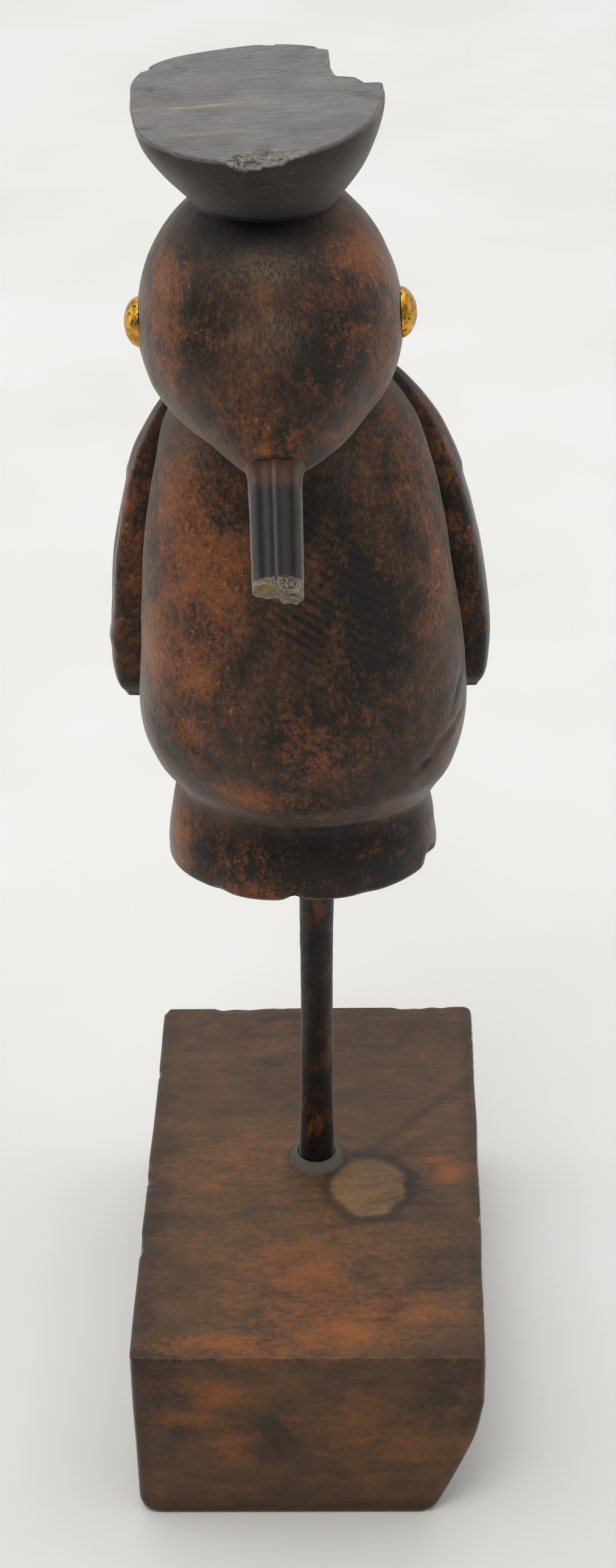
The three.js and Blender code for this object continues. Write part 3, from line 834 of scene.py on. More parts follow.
def along_line(points: Array, start: tuple, end: tuple, width: float) -> Array:
    """Fall off as a bell round a straight line between two points: exp(-(distance / width) ** 2)."""
    a, b = np.array(start), np.array(end)
    t = np.clip(((points - a) @ (b - a)) / ((b - a) @ (b - a)), 0, 1)
    nearest = a + t[..., None] * (b - a)
    taper = 0.35 + 0.65 * np.sin(np.pi * np.clip(t, 0.02, 0.98))
    return taper * hump(np.linalg.norm(points - nearest, axis=-1), width)


@dataclass(frozen=True)
class WingForm:
    """A wing as a slab that lies on the body's side."""

    stations: tuple = (
        (112, 203.0, 132, 204.5, 1.2),
        (98, 197.5, 152, 199.5, 1.9),
        (88, 188.0, 163, 190.0, 3.5),
        (84, 174.0, 169, 177.0, 4.2),
        (84, 158.0, 171, 162.0, 4.2),
        (86, 147.5, 171, 147.0, 3.8),
        (92, 141.8, 168, 136.0, 2.2),
    )
    right_drop: float = 1.3
    right_swell: tuple = (0.6, 1.2, 0.6)
    root: float = 3.0
    leading: float = 0.66
    trailing: float = 0.35
    rows: int = 92
    across: int = 56
    face_rows: int = 7

    def table(self) -> Array:
        """Give the stations with their share of the wing's length put first."""
        share = np.linspace(0, 1, len(self.stations))[:, None]
        return np.hstack([share, np.array(self.stations, float)])

    def lead_angle(self, height: Array) -> Array:
        """Give the leading edge's angle at a height, in degrees, by straight lines between stations."""
        table = np.array(self.stations, float)[::-1]
        return np.interp(height, table[:, 1], table[:, 0])

    def shell(self, side: int, body: BodyForm) -> Shell:
        """Give one wing's surface.

        Each row goes out along the leading face, back over the outside to the trailing edge, and in
        again inside the body. The outside fills out from the leading edge as a quarter ellipse and
        thins towards the trailing edge with the square of the way.

        Args:
            side: 1 for +X and -1 for -X.
            body: The body that it lies on.

        Returns:
            The surface.
        """
        u = np.linspace(0, 1, self.rows)[:, None]
        table = self.table()
        lead_angle, lead_height, trail_angle, trail_height, thickness = (
            curve(table, column, u) for column in range(1, 6)
        )
        face = np.zeros(self.face_rows)
        outer = packed(0, 1, self.across, ((0, 0.06, 6), (1, 0.03, 2)))
        inner = np.linspace(1, 0, 12)
        v = np.concatenate([face, outer, inner])[None, :]
        rising = np.concatenate([np.linspace(0, 1, self.face_rows, endpoint=False), np.ones(self.across)])
        on_outside = np.concatenate([rising, np.zeros(12)])[None, :]
        nose = self.leading + (1 - self.leading) * np.sqrt(1 - (1 - np.clip(v / 0.1, 0, 1)) ** 2)
        top_swell, full_swell, swell_length = self.right_swell
        swell = top_swell + (full_swell - top_swell) * step(u, 0, swell_length) if side < 0 else 1.0
        depth = swell * thickness * nose * (1 - (1 - self.trailing) * v * v)
        depth = depth + self.relief(u, v, side) * on_outside
        outside = -self.root + (depth + self.root) * on_outside
        angle = np.radians(lead_angle + (trail_angle - lead_angle) * v) * side
        drop = self.right_drop * u * u if side < 0 else 0.0
        height = lead_height + (trail_height - lead_height) * v - drop
        points = body.at(angle, height, outside)
        return Shell(points if side < 0 else points[:, ::-1])

    def relief(self, u: Array, v: Array, side: int) -> Array:
        """Say how far the wing's outside stands in or out.

        Three long grooves part the feathers below the shoulder, a low step ends the shoulder's short
        ones, and the leading edge is nicked and layered on the right wing.

        Args:
            u: Share of the way down.
            v: Share of the way from the leading edge to the trailing one.
            side: 1 for +X and -1 for -X.

        Returns:
            The relief, above 0 outwards.
        """
        total = np.zeros(np.broadcast(u, v).shape)
        for place, start in ((0.3, 0.42), (0.52, 0.38), (0.74, 0.46)):
            line = place + 0.10 * (u - 0.5) - 0.1 * np.sin(np.pi * u)
            total -= 0.55 * hump(v - line, 0.018) * step(u, start, start + 0.07) * step(-u, -1.0, -0.95)
        shoulder = 0.36 + 0.07 * np.sin(np.pi * v)
        total += 0.45 * step(-u, -(shoulder + 0.03), -shoulder) * step(v, 0.03, 0.12)
        place = stack(u * 70.0, v * 42.0, np.full_like(u + v, 9.0 * side))
        total += 0.22 * GRIT.at(place, 8.0) + 0.1 * GRIT.at(place + 31, 3.0)
        if side < 0:
            total += 0.35 * hump(u - 0.72, 0.02) * step(-v, -0.25, -0.1)
            total -= 0.3 * hump(v - 0.05, 0.02) * step(u, 0.45, 0.5) * step(-u, -0.68, -0.62)
        return total


@dataclass(frozen=True)
class TailForm:
    """The tail as a blade that leaves the lower back in a curve."""

    axis: tuple = ((0.6, 19.0, 172.0), (0.6, 29.0, 138.0), (0.6, 46.0, 114.0))
    widths: tuple = (34.0, 19.0)
    thicknesses: tuple = (15.0, 4.5)
    fullness: float = 2.4
    rounded_length: float = 0.2
    rounded_size: float = 0.7
    rows: int = 84
    around: int = 72

    def shell(self) -> Shell:
        """Give the surface.

        The middle runs on the curve (1 - t)^2 a + 2 t (1 - t) b + t^2 c, with a rounded outline
        square to it that narrows evenly and is drawn in near the end. Two shallow grooves run down
        its upper side.

        Returns:
            The surface.
        """
        a, b, c = (np.array(point) for point in self.axis)
        t = packed(0, 1, self.rows, ((1, 0.05, 3),))[:, None]
        centre = (1 - t) ** 2 * a + 2 * t * (1 - t) * b + t * t * c
        along = 2 * (1 - t) * (b - a) + 2 * t * (c - b)
        along /= np.linalg.norm(along, axis=1, keepdims=True)
        across = np.array([1.0, 0.0, 0.0])
        inward = np.cross(along, across)
        closing = np.maximum(0, 1 - (1 - t) / self.rounded_length)
        tip = np.sqrt(1 - (1 - self.rounded_size**2) * closing**2)
        half_width = (self.widths[0] + (self.widths[1] - self.widths[0]) * t) / 2 * tip
        half_thick = (self.thicknesses[0] + (self.thicknesses[1] - self.thicknesses[0]) * t) / 2 * tip
        angle = np.linspace(0, 2 * np.pi, self.around, endpoint=False)[None, :]
        x, y = rounded(angle, self.fullness)
        groove = hump(np.abs(x) - 0.36, 0.07) * step(t, 0.55, 0.7) * (y < 0)
        x, y = x * half_width, y * (half_thick - 0.4 * groove)
        rows = centre[:, None] + x[..., None] * across + y[..., None] * inward[:, None]
        rows += (0.2 * GRIT.at(rows, 8.0))[..., None] * inward[:, None]
        return Shell(rows)


@dataclass(frozen=True)
class HeadForm:
    """The head: an egg round its centre, drawn out to a cone along the beak."""

    centre: tuple = (-2.6, 0.0, 212.7)
    radius: float = 21.4
    crown_rise: float = 25.8
    turn: float = 1.5
    roll: float = 0.8
    beak_drop: float = 40.0
    root_distance: float = 25.6
    root_shoulder: float = 4.7
    draw_spread: float = 38.0
    draw_fall: float = 1.95
    draw_skew: float = -1.0
    pole: float = 3.0
    rows: int = 84
    around: int = 132

    def placement(self) -> Array:
        """Give the matrix that takes what is modelled round the head's centre to its place."""
        turn = Matrix.Rotation(math.radians(self.turn), 4, "Z")
        roll = Matrix.Rotation(-math.radians(self.roll), 4, "Y")
        return np.array(Matrix.Translation(self.centre) @ turn @ roll)

    def beak_axes(self) -> tuple[Array, Array, Array]:
        """Give the beak's direction, the direction across it to +X and the one to its upper side."""
        drop = math.radians(self.beak_drop)
        along = np.array([0.0, -math.cos(drop), -math.sin(drop)])
        across = np.array([1.0, 0.0, 0.0])
        return along, across, np.cross(along, across)

    def root_angle(self) -> float:
        """Give the angle from the beak's axis to the edge of the flat end that it grows from."""
        return math.atan2(self.root_shoulder, self.root_distance)

    def reach(self, direction: Array, from_beak: Array) -> Array:
        """Say how far the head reaches in a direction.

        An egg's radius times 1 plus a draw that falls off with the angle from the beak, as a power
        of the share that is left, which differs a little from cheek to cheek.

        Args:
            direction: Unit vectors from the head's centre.
            from_beak: Their angles from the beak's axis.

        Returns:
            The distances.
        """
        rise = np.where(direction[..., 2] > 0, self.crown_rise, self.radius)
        flat = np.hypot(direction[..., 0], direction[..., 1]) / self.radius
        egg = 1 / np.hypot(flat, direction[..., 2] / rise)
        draw = math.hypot(self.root_distance, self.root_shoulder) / self.radius - 1
        away = (from_beak - self.root_angle()) / math.radians(self.draw_spread)
        fall = self.draw_fall + self.draw_skew * direction[..., 0]
        return egg * (1 + draw * np.clip(1 - away, 0, 1) ** fall)

    def shell(self) -> Shell:
        """Give the surface, its rows from the back of the head to the beak's root."""
        along, across, above = self.beak_axes()
        back = math.pi - math.radians(self.pole)
        from_beak = packed(self.root_angle(), back, self.rows, ((0.2, 0.25, 1.2),))[::-1][:, None]
        around = np.linspace(0, 2 * np.pi, self.around, endpoint=False)[None, :]
        direction = (
            np.cos(from_beak)[..., None] * along
            + (np.sin(from_beak) * np.cos(around))[..., None] * across
            + (np.sin(from_beak) * np.sin(around))[..., None] * above
        )
        reach = self.reach(direction, from_beak * np.ones_like(around))
        dents = 0.16 * GRIT.at(direction * 21 + 80, 9.0) + 0.10 * GRIT.layered(direction * 21 + 40, 3.6, 2)
        reach += dents * step(from_beak, self.root_angle(), self.root_angle() + 0.2)
        return Shell(place(direction * reach[..., None], self.placement()))


def place(points: Array, matrix: Array) -> Array:
    """Take points through a 4 by 4 matrix."""
    return points @ matrix[:3, :3].T + matrix[:3, 3]


@dataclass(frozen=True)
class BeakForm:
    """The beak: a rounded bar with a fine ridge on top, snapped off in two steps."""

    half_width: float = 4.3
    half_height: float = 3.5
    narrowing: float = 0.94
    ridge: float = 0.35
    ridge_width: float = 0.15
    length_left: float = 46.4
    length_right: float = 47.5
    fullness: float = 2.5
    flare: float = 0.45
    around: int = 84
    rows: int = 78
    end_rows: int = 18

    def end(self, x: Array, y: Array) -> Array:
        """Say how long the bar is at a place across it.

        The left lobe is shorter than the right one and has a round pit, and the break is rough.

        Args:
            x: Place across, to +X.
            y: Place towards the upper side.

        Returns:
            The distance from the head's centre.
        """
        side = step(x, -0.9, 0.9)
        length = self.length_left + (self.length_right - self.length_left) * side
        pit = np.exp(-(((x + 1.8) / 1.5) ** 2 + ((y - 0.9) / 1.5) ** 2))
        rough = 0.35 * GRIT.layered(stack(x, y, 3.0), 1.4, 3)
        return length - 1.0 * pit + rough - 0.25 * hump(x, 0.5)

    def shell(self, head: HeadForm) -> Shell:
        """Give the surface.

        Rows run from inside the head to the end, each a rounded outline that narrows evenly and
        flares out to the head at the root, and close over the broken end.

        Args:
            head: The head that it grows from.

        Returns:
            The surface.
        """
        along, across, above = head.beak_axes()
        angle = np.linspace(0, 2 * np.pi, self.around, endpoint=False)[None, :]
        x, y = rounded(angle, self.fullness)
        root = head.root_distance
        start = root / 2
        t = packed(0, 1, self.rows, ((0.37, 0.04, 2), (1, 0.04, 3)))[:, None]
        rim_end = self.end(x * self.half_width * self.narrowing, y * self.half_height * self.narrowing)
        distance = start + (rim_end - start) * t
        down = np.clip((distance - root) / (self.length_right - root), 0, 1)
        size = 1 - (1 - self.narrowing) * down
        flare = self.flare * np.exp(-np.maximum(distance - root, 0) / 1.3)
        ridge = np.where(y > 0, self.ridge * hump(x, self.ridge_width), 0.0)
        side_x = x * (self.half_width * size + flare)
        side_y = y * (self.half_height * size + flare) + ridge
        share = np.linspace(1, 0.04, self.end_rows + 1)[1:, None]
        cap_x, cap_y = side_x[-1] * share, side_y[-1] * share
        cap_distance = self.end(cap_x, cap_y)
        all_x = np.concatenate([side_x, cap_x])
        all_y = np.concatenate([side_y, cap_y])
        all_distance = np.concatenate([distance * np.ones_like(x), cap_distance])
        worn = 0.05 * GRIT.at(stack(all_x, all_y, all_distance), 2.0)
        rows = all_distance[..., None] * along + (all_x + worn)[..., None] * across + all_y[..., None] * above
        return Shell(place(rows, head.placement()), Skin.BEAK)


@dataclass(frozen=True)
class CapForm:
    """The cap: it flares from a waist on the head to a flat top with a corner and a chip broken off."""

    waist_rise: float = 22.3
    waist_radius: float = 12.1
    sunk_depth: float = 5.0
    sunk_size: float = 0.8
    rise: float = 14.9
    radius: float = 19.6
    shift: tuple = (-0.4, -0.8)
    dip: float = 7.5
    roll: float = 2.4
    waist_roll: float = -2.0
    corner_angle: float = 140.0
    corner_bulge: float = 0.17
    corner_spread: float = 24.0
    broken_outline: tuple = (
        (10.9, 32.0), (11.4, 14.6), (10.9, 11.6), (11.7, 9.0), (12.3, 5.8),
        (15.3, 5.2), (16.4, 3.0), (32.0, 2.4),
    )
    chip: tuple = (
        (-7.6, 0.0, 0.02), (-5.5, 0.3, 0.15), (-4.2, 1.2, 0.85), (-2.8, 2.1, 1.5), (-2.0, 2.35, 1.75),
        (-0.2, 2.4, 1.5), (1.6, 2.3, 1.25), (3.0, 2.2, 1.3), (4.3, 1.9, 0.9), (5.4, 1.6, 0.62),
        (7.0, 1.1, 0.5), (8.4, 0.3, 0.2), (9.2, 0.0, 0.02),
    )
    around: int = 330
    rows: int = 46
    top_rows: int = 34

    def rim(self, angle: Array) -> Array:
        """Say how far the rim lies from the middle: a circle with a bell-shaped bulge at one corner."""
        off = np.abs(np.degrees(angle) - self.corner_angle)
        return self.radius * (1 + self.corner_bulge * hump(off, self.corner_spread))

    def frames(self, share: Array) -> tuple[Array, Array]:
        """Give the cap's own turns and middles at shares of its rise: 0 at the waist, 1 at the top."""
        roll = np.radians(self.waist_roll + (self.roll - self.waist_roll) * share)
        dip = np.radians(self.dip) * share
        zero, one = np.zeros_like(share), np.ones_like(share)
        c, s = np.cos(-roll), np.sin(-roll)
        about_y = np.stack([c, zero, s, zero, one, zero, -s, zero, c], axis=-1).reshape(-1, 3, 3)
        c, s = np.cos(dip), np.sin(dip)
        about_x = np.stack([one, zero, zero, zero, c, -s, zero, s, c], axis=-1).reshape(-1, 3, 3)
        height = self.waist_rise + self.rise * share
        middle = np.stack([self.shift[0] * share, self.shift[1] * share, height], axis=-1)
        return about_y @ about_x, middle

    def broken_reach(self, angle: Array, depth: Array) -> Array:
        """Say how far the cap is whole in a direction, at a depth under its top.

        Where the direction crosses the outline of the broken corner, plus splinters that run down.
        """
        outline = np.array(self.broken_outline)
        bearings = np.arctan2(outline[:, 1], outline[:, 0])
        order = np.argsort(bearings)
        fine = np.linspace(bearings[order[0]], bearings[order[-1]], 600)
        crossing = np.full(len(fine), 60.0)
        for a, b in zip(outline[:-1], outline[1:]):
            edge = b - a
            ray = np.stack([np.cos(fine), np.sin(fine)])
            cross = ray[0] * edge[1] - ray[1] * edge[0]
            reach = (a[0] * edge[1] - a[1] * edge[0]) / cross
            t = (a[0] * ray[1] - a[1] * ray[0]) / cross
            crossing = np.where((t >= 0) & (t <= 1) & (reach > 0), np.minimum(crossing, reach), crossing)
        whole = np.interp(angle, fine, crossing, left=60.0, right=60.0)
        splinters = 0.4 * GRIT.layered(stack(angle * 15.0, depth * 0.3, 5.0), 1.6, 3)
        return whole + splinters

    def shell(self, head: HeadForm) -> Shell:
        """Give the surface.

        Rows run from inside the head to the waist, up the flare, whose radius grows with the sine of
        the rise, over a small rounded rim and across the flat top to its middle. Each point is then
        drawn in to the break and to the chip's face.

        Args:
            head: The head that it stands on.

        Returns:
            The surface.
        """
        angle = packed(-np.pi, np.pi, self.around + 1, ((0.5, 0.35, 1.2), (-1.55, 0.5, 1.0)))[:-1]
        share = packed(0, 1, self.rows, ((1, 0.06, 3),))
        turns, middles = self.frames(share)
        flare = np.sin(share * np.pi / 2)[:, None]
        radius = self.waist_radius + (self.rim(angle)[None] - self.waist_radius) * flare
        about = stack(np.cos(angle) * 19, np.sin(angle) * 19, share[:, None] * 15)
        radius = radius + 0.22 * GRIT.at(about, 4.5) * flare
        radius *= 1 - 0.012 * step(share, 0.985, 1)[:, None]
        flat = stack(radius * np.cos(angle), radius * np.sin(angle), 0.0)
        side = np.einsum("rij,raj->rai", turns, flat) + middles[:, None]
        sunk = side[:1] * np.array([self.sunk_size, self.sunk_size, 1]) - np.array([0, 0, self.sunk_depth])
        inward = packed(0, 0.985, self.top_rows, ((0, 0.05, 4),))[1:, None]
        top = stack(flat[-1, :, 0] * (1 - inward), flat[-1, :, 1] * (1 - inward), 0.0)
        top[..., 2] = 0.07 * GRIT.at(top * np.array([0.3, 1, 1]) + 9, 3.0) * step(inward, 0, 0.1)
        top = np.einsum("ij,raj->rai", turns[-1], top) + middles[-1]
        rows = np.concatenate([sunk, side, top])
        local = (rows - middles[-1]) @ turns[-1]
        local = self.rub(self.broken_front(self.snap(local)))
        rows = local @ turns[-1].T + middles[-1]
        return Shell(place(rows, head.placement()), Skin.CAP)

    def snap(self, local: Array) -> Array:
        """Draw points in to the broken corner's face, in the top's own frame."""
        out = local.copy()
        distance = np.hypot(local[..., 0], local[..., 1])
        angle = np.arctan2(local[..., 1], local[..., 0])
        whole = self.broken_reach(angle, -local[..., 2])
        above_waist = local[..., 2] > -self.rise * 0.98
        share = np.where(above_waist, np.minimum(1, whole / np.maximum(distance, 1e-6)), 1)
        out[..., :2] *= share[..., None]
        return out

    def chip_face(self, x: Array, z: Array) -> Array:
        """Give the Y of the front chip's face in the top's own frame.

        It starts inwards of the rim at the top and slopes down to it, both by the table's depths for
        this X, and is splintered. Past the table's ends and under its foot it is far outside.
        """
        table = np.array(self.chip)
        inward, down = curve(table, 1, x), curve(table, 2, x)
        rough = 0.3 * GRIT.layered(stack(x, z * 1.5, 8.0), 2.2, 3) * np.clip(inward, 0, 1)
        rim = np.sqrt(np.maximum(self.radius**2 - x * x, 0))
        face = inward * (1 + z / np.maximum(down, 0.02)) + rough - rim
        within = (x > table[0, 0]) & (x < table[-1, 0]) & (z > -down - 0.8)
        return np.where(within, face, -60.0)

    def broken_front(self, local: Array) -> Array:
        """Draw points in to the front chip's face, in the top's own frame."""
        out = local.copy()
        x, y, z = np.moveaxis(local, -1, 0)
        out[..., 1] = np.where(y < 0, np.maximum(y, self.chip_face(x, np.minimum(z, 0))), y)
        return out

    def rub(self, local: Array) -> Array:
        """Wear small nicks into the rim: near the top the points move down by a random share."""
        out = local.copy()
        distance = np.hypot(local[..., 0], local[..., 1])
        rim = step(distance, 13, 19) * step(local[..., 2], -1.2, -0.1)
        nick = np.clip(GRIT.layered(local * np.array([1, 1, 0.2]) + 17, 2.6, 2) - 0.35, 0, 1)
        out[..., 2] -= 0.9 * nick * rim
        out[..., :2] *= (1 - 0.035 * nick * rim)[..., None]
        return out


@dataclass(frozen=True)
class TackEye:
    """A domed tack head that sits in the side of the head."""

    side: int = 1
    radius: float = 4.1
    proud: float = 2.2
    power: float = 1.3
    rim: float = 0.5
    rise: float = 1.3
    forward: float = 0.5
    gap: float = 0.15
    around: int = 72
    rows: int = 26

    def placement(self, head: HeadForm) -> Array:
        """Give the matrix that takes a tack made round the Z axis to its place on the head."""
        reach = math.sqrt(head.radius**2 - self.forward**2)
        sink = math.sqrt(1 - self.rise**2 / head.crown_rise**2)
        move = Matrix.Translation((self.side * reach * sink, -self.forward, self.rise))
        turn = Matrix.Rotation(self.side * math.pi / 2, 4, "Y")
        return head.placement() @ np.array(move @ turn)

    def build(self, head: HeadForm, material: bpy.types.Material) -> bpy.types.Object:
        """Make the tack: a flat underside, a thin rounded flange and a dome with small dents.

        The dome is a quarter ellipse whose height is raised to a power, flatter near the rim.

        Args:
            head: The head that it sits in.
            material: Its finish.

        Returns:
            The piece, which stands for its node.
        """
        angle = np.linspace(0, 2 * np.pi, self.around, endpoint=False)[None, :]
        under = np.linspace(0.05, 0.96, 6)
        rise = np.linspace(0, np.pi / 2 - 0.03, self.rows)
        share = np.concatenate([under, [1.0, 1.0], np.cos(rise) * 0.985])[:, None]
        dome = self.proud * np.sin(rise) ** self.power
        height = np.concatenate([np.full(6, -self.rim), [-self.rim + 0.1, -0.1], dome])[:, None]
        points = stack(self.radius * share * np.cos(angle), self.radius * share * np.sin(angle), height)
        dents = 0.09 * GRIT.at(points + 13 * self.side, 1.9) + 0.04 * GRIT.at(points, 0.8)
        points[..., 2] += dents * step(height, 0, 0.8)
        name = "eye_left" if self.side > 0 else "eye_right"
        piece = Shell(place(points, self.placement(head))).to_object(f"tack_{name}", [material])
        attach(piece, "root")
        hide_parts(name)
        soften(piece, 50)
        return piece

    def seat(self, head: HeadForm) -> Shell:
        """Give the round seat that is cut into the head for it."""
        angle = np.linspace(0, 2 * np.pi, 48, endpoint=False)[None, :]
        height = np.array([-self.rim - self.gap, self.proud + 2])[:, None]
        reach = self.radius + self.gap
        points = stack(reach * np.cos(angle), reach * np.sin(angle), height)
        return Shell(place(points, self.placement(head)))


def soften(piece: bpy.types.Object, degrees: float) -> None:
    """Shade a piece smoothly, with creases where it turns by more than this."""
    piece.data.shade_smooth()
    piece.data.set_sharp_from_angle(angle=math.radians(degrees))


@dataclass(frozen=True)
class Rod:
    """The rod that stands in the block and holds the bird up."""

    radius: float = 3.2
    foot_x: float = 0.6
    foot_y: float = 4.4
    lean: float = 0.0235
    socket: float = 15.0
    gap: float = 0.3
    swelling: tuple = ((0, 1.0), (0.16, 1.07), (0.35, 0.96), (0.6, 0.94), (0.82, 1.0), (1, 1.0))
    rows: int = 190
    around: int = 56

    def centre(self, height: Array) -> Array:
        """Give the rod's middle at a height: it leans evenly to +X."""
        return stack(self.foot_x + self.lean * (height - Block.height), self.foot_y, height)

    def bar(self, bottom: float, top: float, radius: Array, rows: int) -> Array:
        """Give the rows of a round bar on the rod's leaning axis."""
        height = np.linspace(bottom, top, rows)
        angle = np.linspace(0, 2 * np.pi, self.around, endpoint=False)[None, :, None]
        ring = np.concatenate([np.cos(angle), np.sin(angle), np.zeros_like(angle)], axis=-1)
        return self.centre(height)[:, None] + ring * np.reshape(radius, (-1, 1, 1))

    def hole(self, bottom: float, top: float) -> Shell:
        """Give the hole that it stands in."""
        thickest = max(row[1] for row in self.swelling)
        return Shell(self.bar(bottom, top, np.full(2, self.radius * thickest + self.gap), 2))

    def build(self, foot_height: float, material: bpy.types.Material) -> bpy.types.Object:
        """Make the rod: a round bar whose radius swells along it, whittled slightly uneven.

        Args:
            foot_height: The height of the bird's underside.
            material: Its finish.

        Returns:
            The piece, which stands for its node.
        """
        bottom = Block.height - self.socket + self.gap
        top = foot_height + self.socket - self.gap
        share = np.linspace(0, 1, self.rows)
        rows = self.bar(bottom, top, self.radius * curve(np.array(self.swelling), 1, share), self.rows)
        middle = rows.mean(axis=1, keepdims=True)
        uneven = 1 + 0.035 * GRIT.at(rows * np.array([1, 1, 0.5]), 5.0) + 0.012 * GRIT.at(rows + 3, 1.6)
        rows = middle + (rows - middle) * uneven[..., None]
        piece = Shell(rows).to_object("whittled_rod", [material])
        points = points_of(piece)
        store(piece, "rust", patchwork(ROD_RUST, points))
        soften(piece, 50)
        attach(piece, "root")
        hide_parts("rod")
        return piece


ROD_RUST = (
    Patch((2.2, 1.2, 99), (3.0, 3.0, 4.0), 0.75),
    Patch((4.0, 2.4, 66), (2.6, 3.0, 5.0), 0.55),
    Patch((0.6, 1.2, 48), (4.0, 3.0, 5.0), 0.45),
    Patch((-1.6, 2.4, 56), (2.0, 3.0, 5.0), 0.4),
    Patch((0.6, 8.0, 80), (3.0, 3.0, 9.0), 0.4),
)


@dataclass(frozen=True)
class Block:
    """The wooden block: a bar along Y whose lower edge at +X is worn away."""

    width: float = 64.0
    depth: float = 105.4
    height: float = 38.0
    corner: float = 2.2
    foot_corner: float = 3.2
    edge: float = 0.8
    wane: tuple = ((11.0, 0), (8.9, 1.2), (6.7, 6.1), (4.0, 12.6), (1.6, 18.9), (0.3, 26))
    mound: float = 1.2
    outline_points: int = 236
    along_rows: int = 118
    face_rows: int = 26

    def outline(self) -> Array:
        """Give the outline seen from the front, as evenly spaced points in X and Z.

        Its corners are arcs, and the worn stretch is the table's, smoothed.

        Returns:
            The points, counterclockwise seen from the front.
        """
        half = self.width / 2
        quarter = np.linspace(0, np.pi / 2, 9)
        worn = np.array(self.wane)
        fine = np.linspace(0, len(worn) - 1, 40)
        worn = np.stack([np.interp(fine, np.arange(len(worn)), worn[:, k]) for k in range(2)], axis=-1)
        kernel = np.ones(5) / 5
        middle = np.stack([np.convolve(worn[:, k], kernel, "valid") for k in range(2)], axis=-1)
        worn = np.concatenate([worn[:1], middle, worn[-1:]])
        e, f = self.edge, self.foot_corner
        parts = [
            np.stack([half - worn[:, 0], worn[:, 1]], axis=-1),
            np.stack([half - e + e * np.cos(quarter), self.height - e + e * np.sin(quarter)], axis=-1),
            np.stack([-half + e - e * np.sin(quarter), self.height - e + e * np.cos(quarter)], axis=-1),
            np.stack([-half + f - f * np.cos(quarter), f - f * np.sin(quarter)], axis=-1),
        ]
        corners = np.concatenate(parts)
        closed = np.vstack([corners, corners[:1]])
        length = np.concatenate([[0], np.cumsum(np.linalg.norm(np.diff(closed, axis=0), axis=1))])
        even = np.linspace(0, length[-1], self.outline_points, endpoint=False)
        nearest = np.abs(even[:, None] - length[None, :-1]).argmin(axis=0)
        even[nearest] = length[:-1]
        return np.stack([np.interp(even, length, closed[:, k]) for k in range(2)], axis=-1)

    def shell(self, rod: Rod) -> Shell:
        """Give the surface.

        Rows run from the middle of the front face outwards to its edge, back along the block and in
        again over the back face. Near each end the sides are drawn in along a quarter circle of the
        corner's radius, and the top and underside along one of the edge's.

        Args:
            rod: The rod that stands in it.

        Returns:
            The surface.
        """
        outline = self.outline()
        face = packed(0.02, 1, self.face_rows, ((1, 0.05, 1.5),))[:-1]
        spots = ((0, 1.2, 3), (self.depth, 1.2, 3))
        along = packed(0, self.depth, self.along_rows, spots)
        y = np.concatenate([np.zeros(len(face)), along, np.full(len(face), self.depth)])
        size = np.concatenate([face, np.ones(len(along)), face[::-1]])
        from_end = np.minimum(y, self.depth - y)
        inset_x = self.corner - np.sqrt(self.corner**2 - np.clip(self.corner - from_end, 0, None) ** 2)
        inset_z = self.edge - np.sqrt(self.edge**2 - np.clip(self.edge - from_end, 0, None) ** 2)
        middle = self.height / 2
        x = outline[None, :, 0] * ((1 - inset_x / (self.width / 2)) * size)[:, None]
        z = middle + (outline[None, :, 1] - middle) * ((1 - inset_z / middle) * size)[:, None]
        rows = stack(x, (y - self.depth / 2)[:, None], z)
        return Shell(self.weather(rows, rod)[::-1])

    def weather(self, rows: Array, rod: Rod) -> Array:
        """Wear the block: broad dents in its faces, and nicks along its upper edges.

        Points move towards the block's middle line by random reliefs, the underside stays flat, and
        the top rises to a low mound of filler round the rod.

        Args:
            rows: The block's points.
            rod: The rod, for where its foot is.

        Returns:
            The moved points.
        """
        out = rows.copy()
        x, y, z = np.moveaxis(rows, -1, 0)
        free = step(z, 0.3, 3.0)
        top = step(z, 37.0, 37.9)
        out[..., 2] += top * (0.05 * GRIT.at(rows, 14.0) - 0.05)
        out[..., 2] += top * self.mound * step(-np.hypot(x - rod.foot_x, y - rod.foot_y), -6.2, -3.6)
        side = step(np.abs(x), 29, 31.8) * free
        out[..., 0] -= np.sign(x) * side * (0.16 + 0.16 * GRIT.at(rows + 7, 11.0))
        ends = step(np.abs(y), 51.9, 52.6) * free
        out[..., 1] -= np.sign(y) * ends * (0.15 + 0.15 * GRIT.at(rows + 21, 10.0))
        rim = step(z, 35.5, 37.4) * np.maximum(step(np.abs(x), 29.8, 31.4), step(np.abs(y), 50.6, 52.2))
        nick = np.clip(GRIT.layered(rows + 5, 4.5, 3) - 0.35, 0, 1)
        out[..., 2] -= 0.7 * nick * rim
        out[..., 0] -= np.sign(x) * 0.5 * nick * rim * step(np.abs(x), 29, 31)
        out[..., 1] -= np.sign(y) * 0.5 * nick * rim * step(np.abs(y), 50, 52)
        for near_x, near_y, reach, depth in BLOCK_NICKS:
            bell = np.exp(-(((x - near_x) ** 2 + (y - near_y) ** 2) / reach**2)) * step(z, 33.0, 37.5)
            out[..., 2] -= depth * bell
            out[..., 1] -= np.sign(y) * 0.6 * depth * bell * ends
        return out

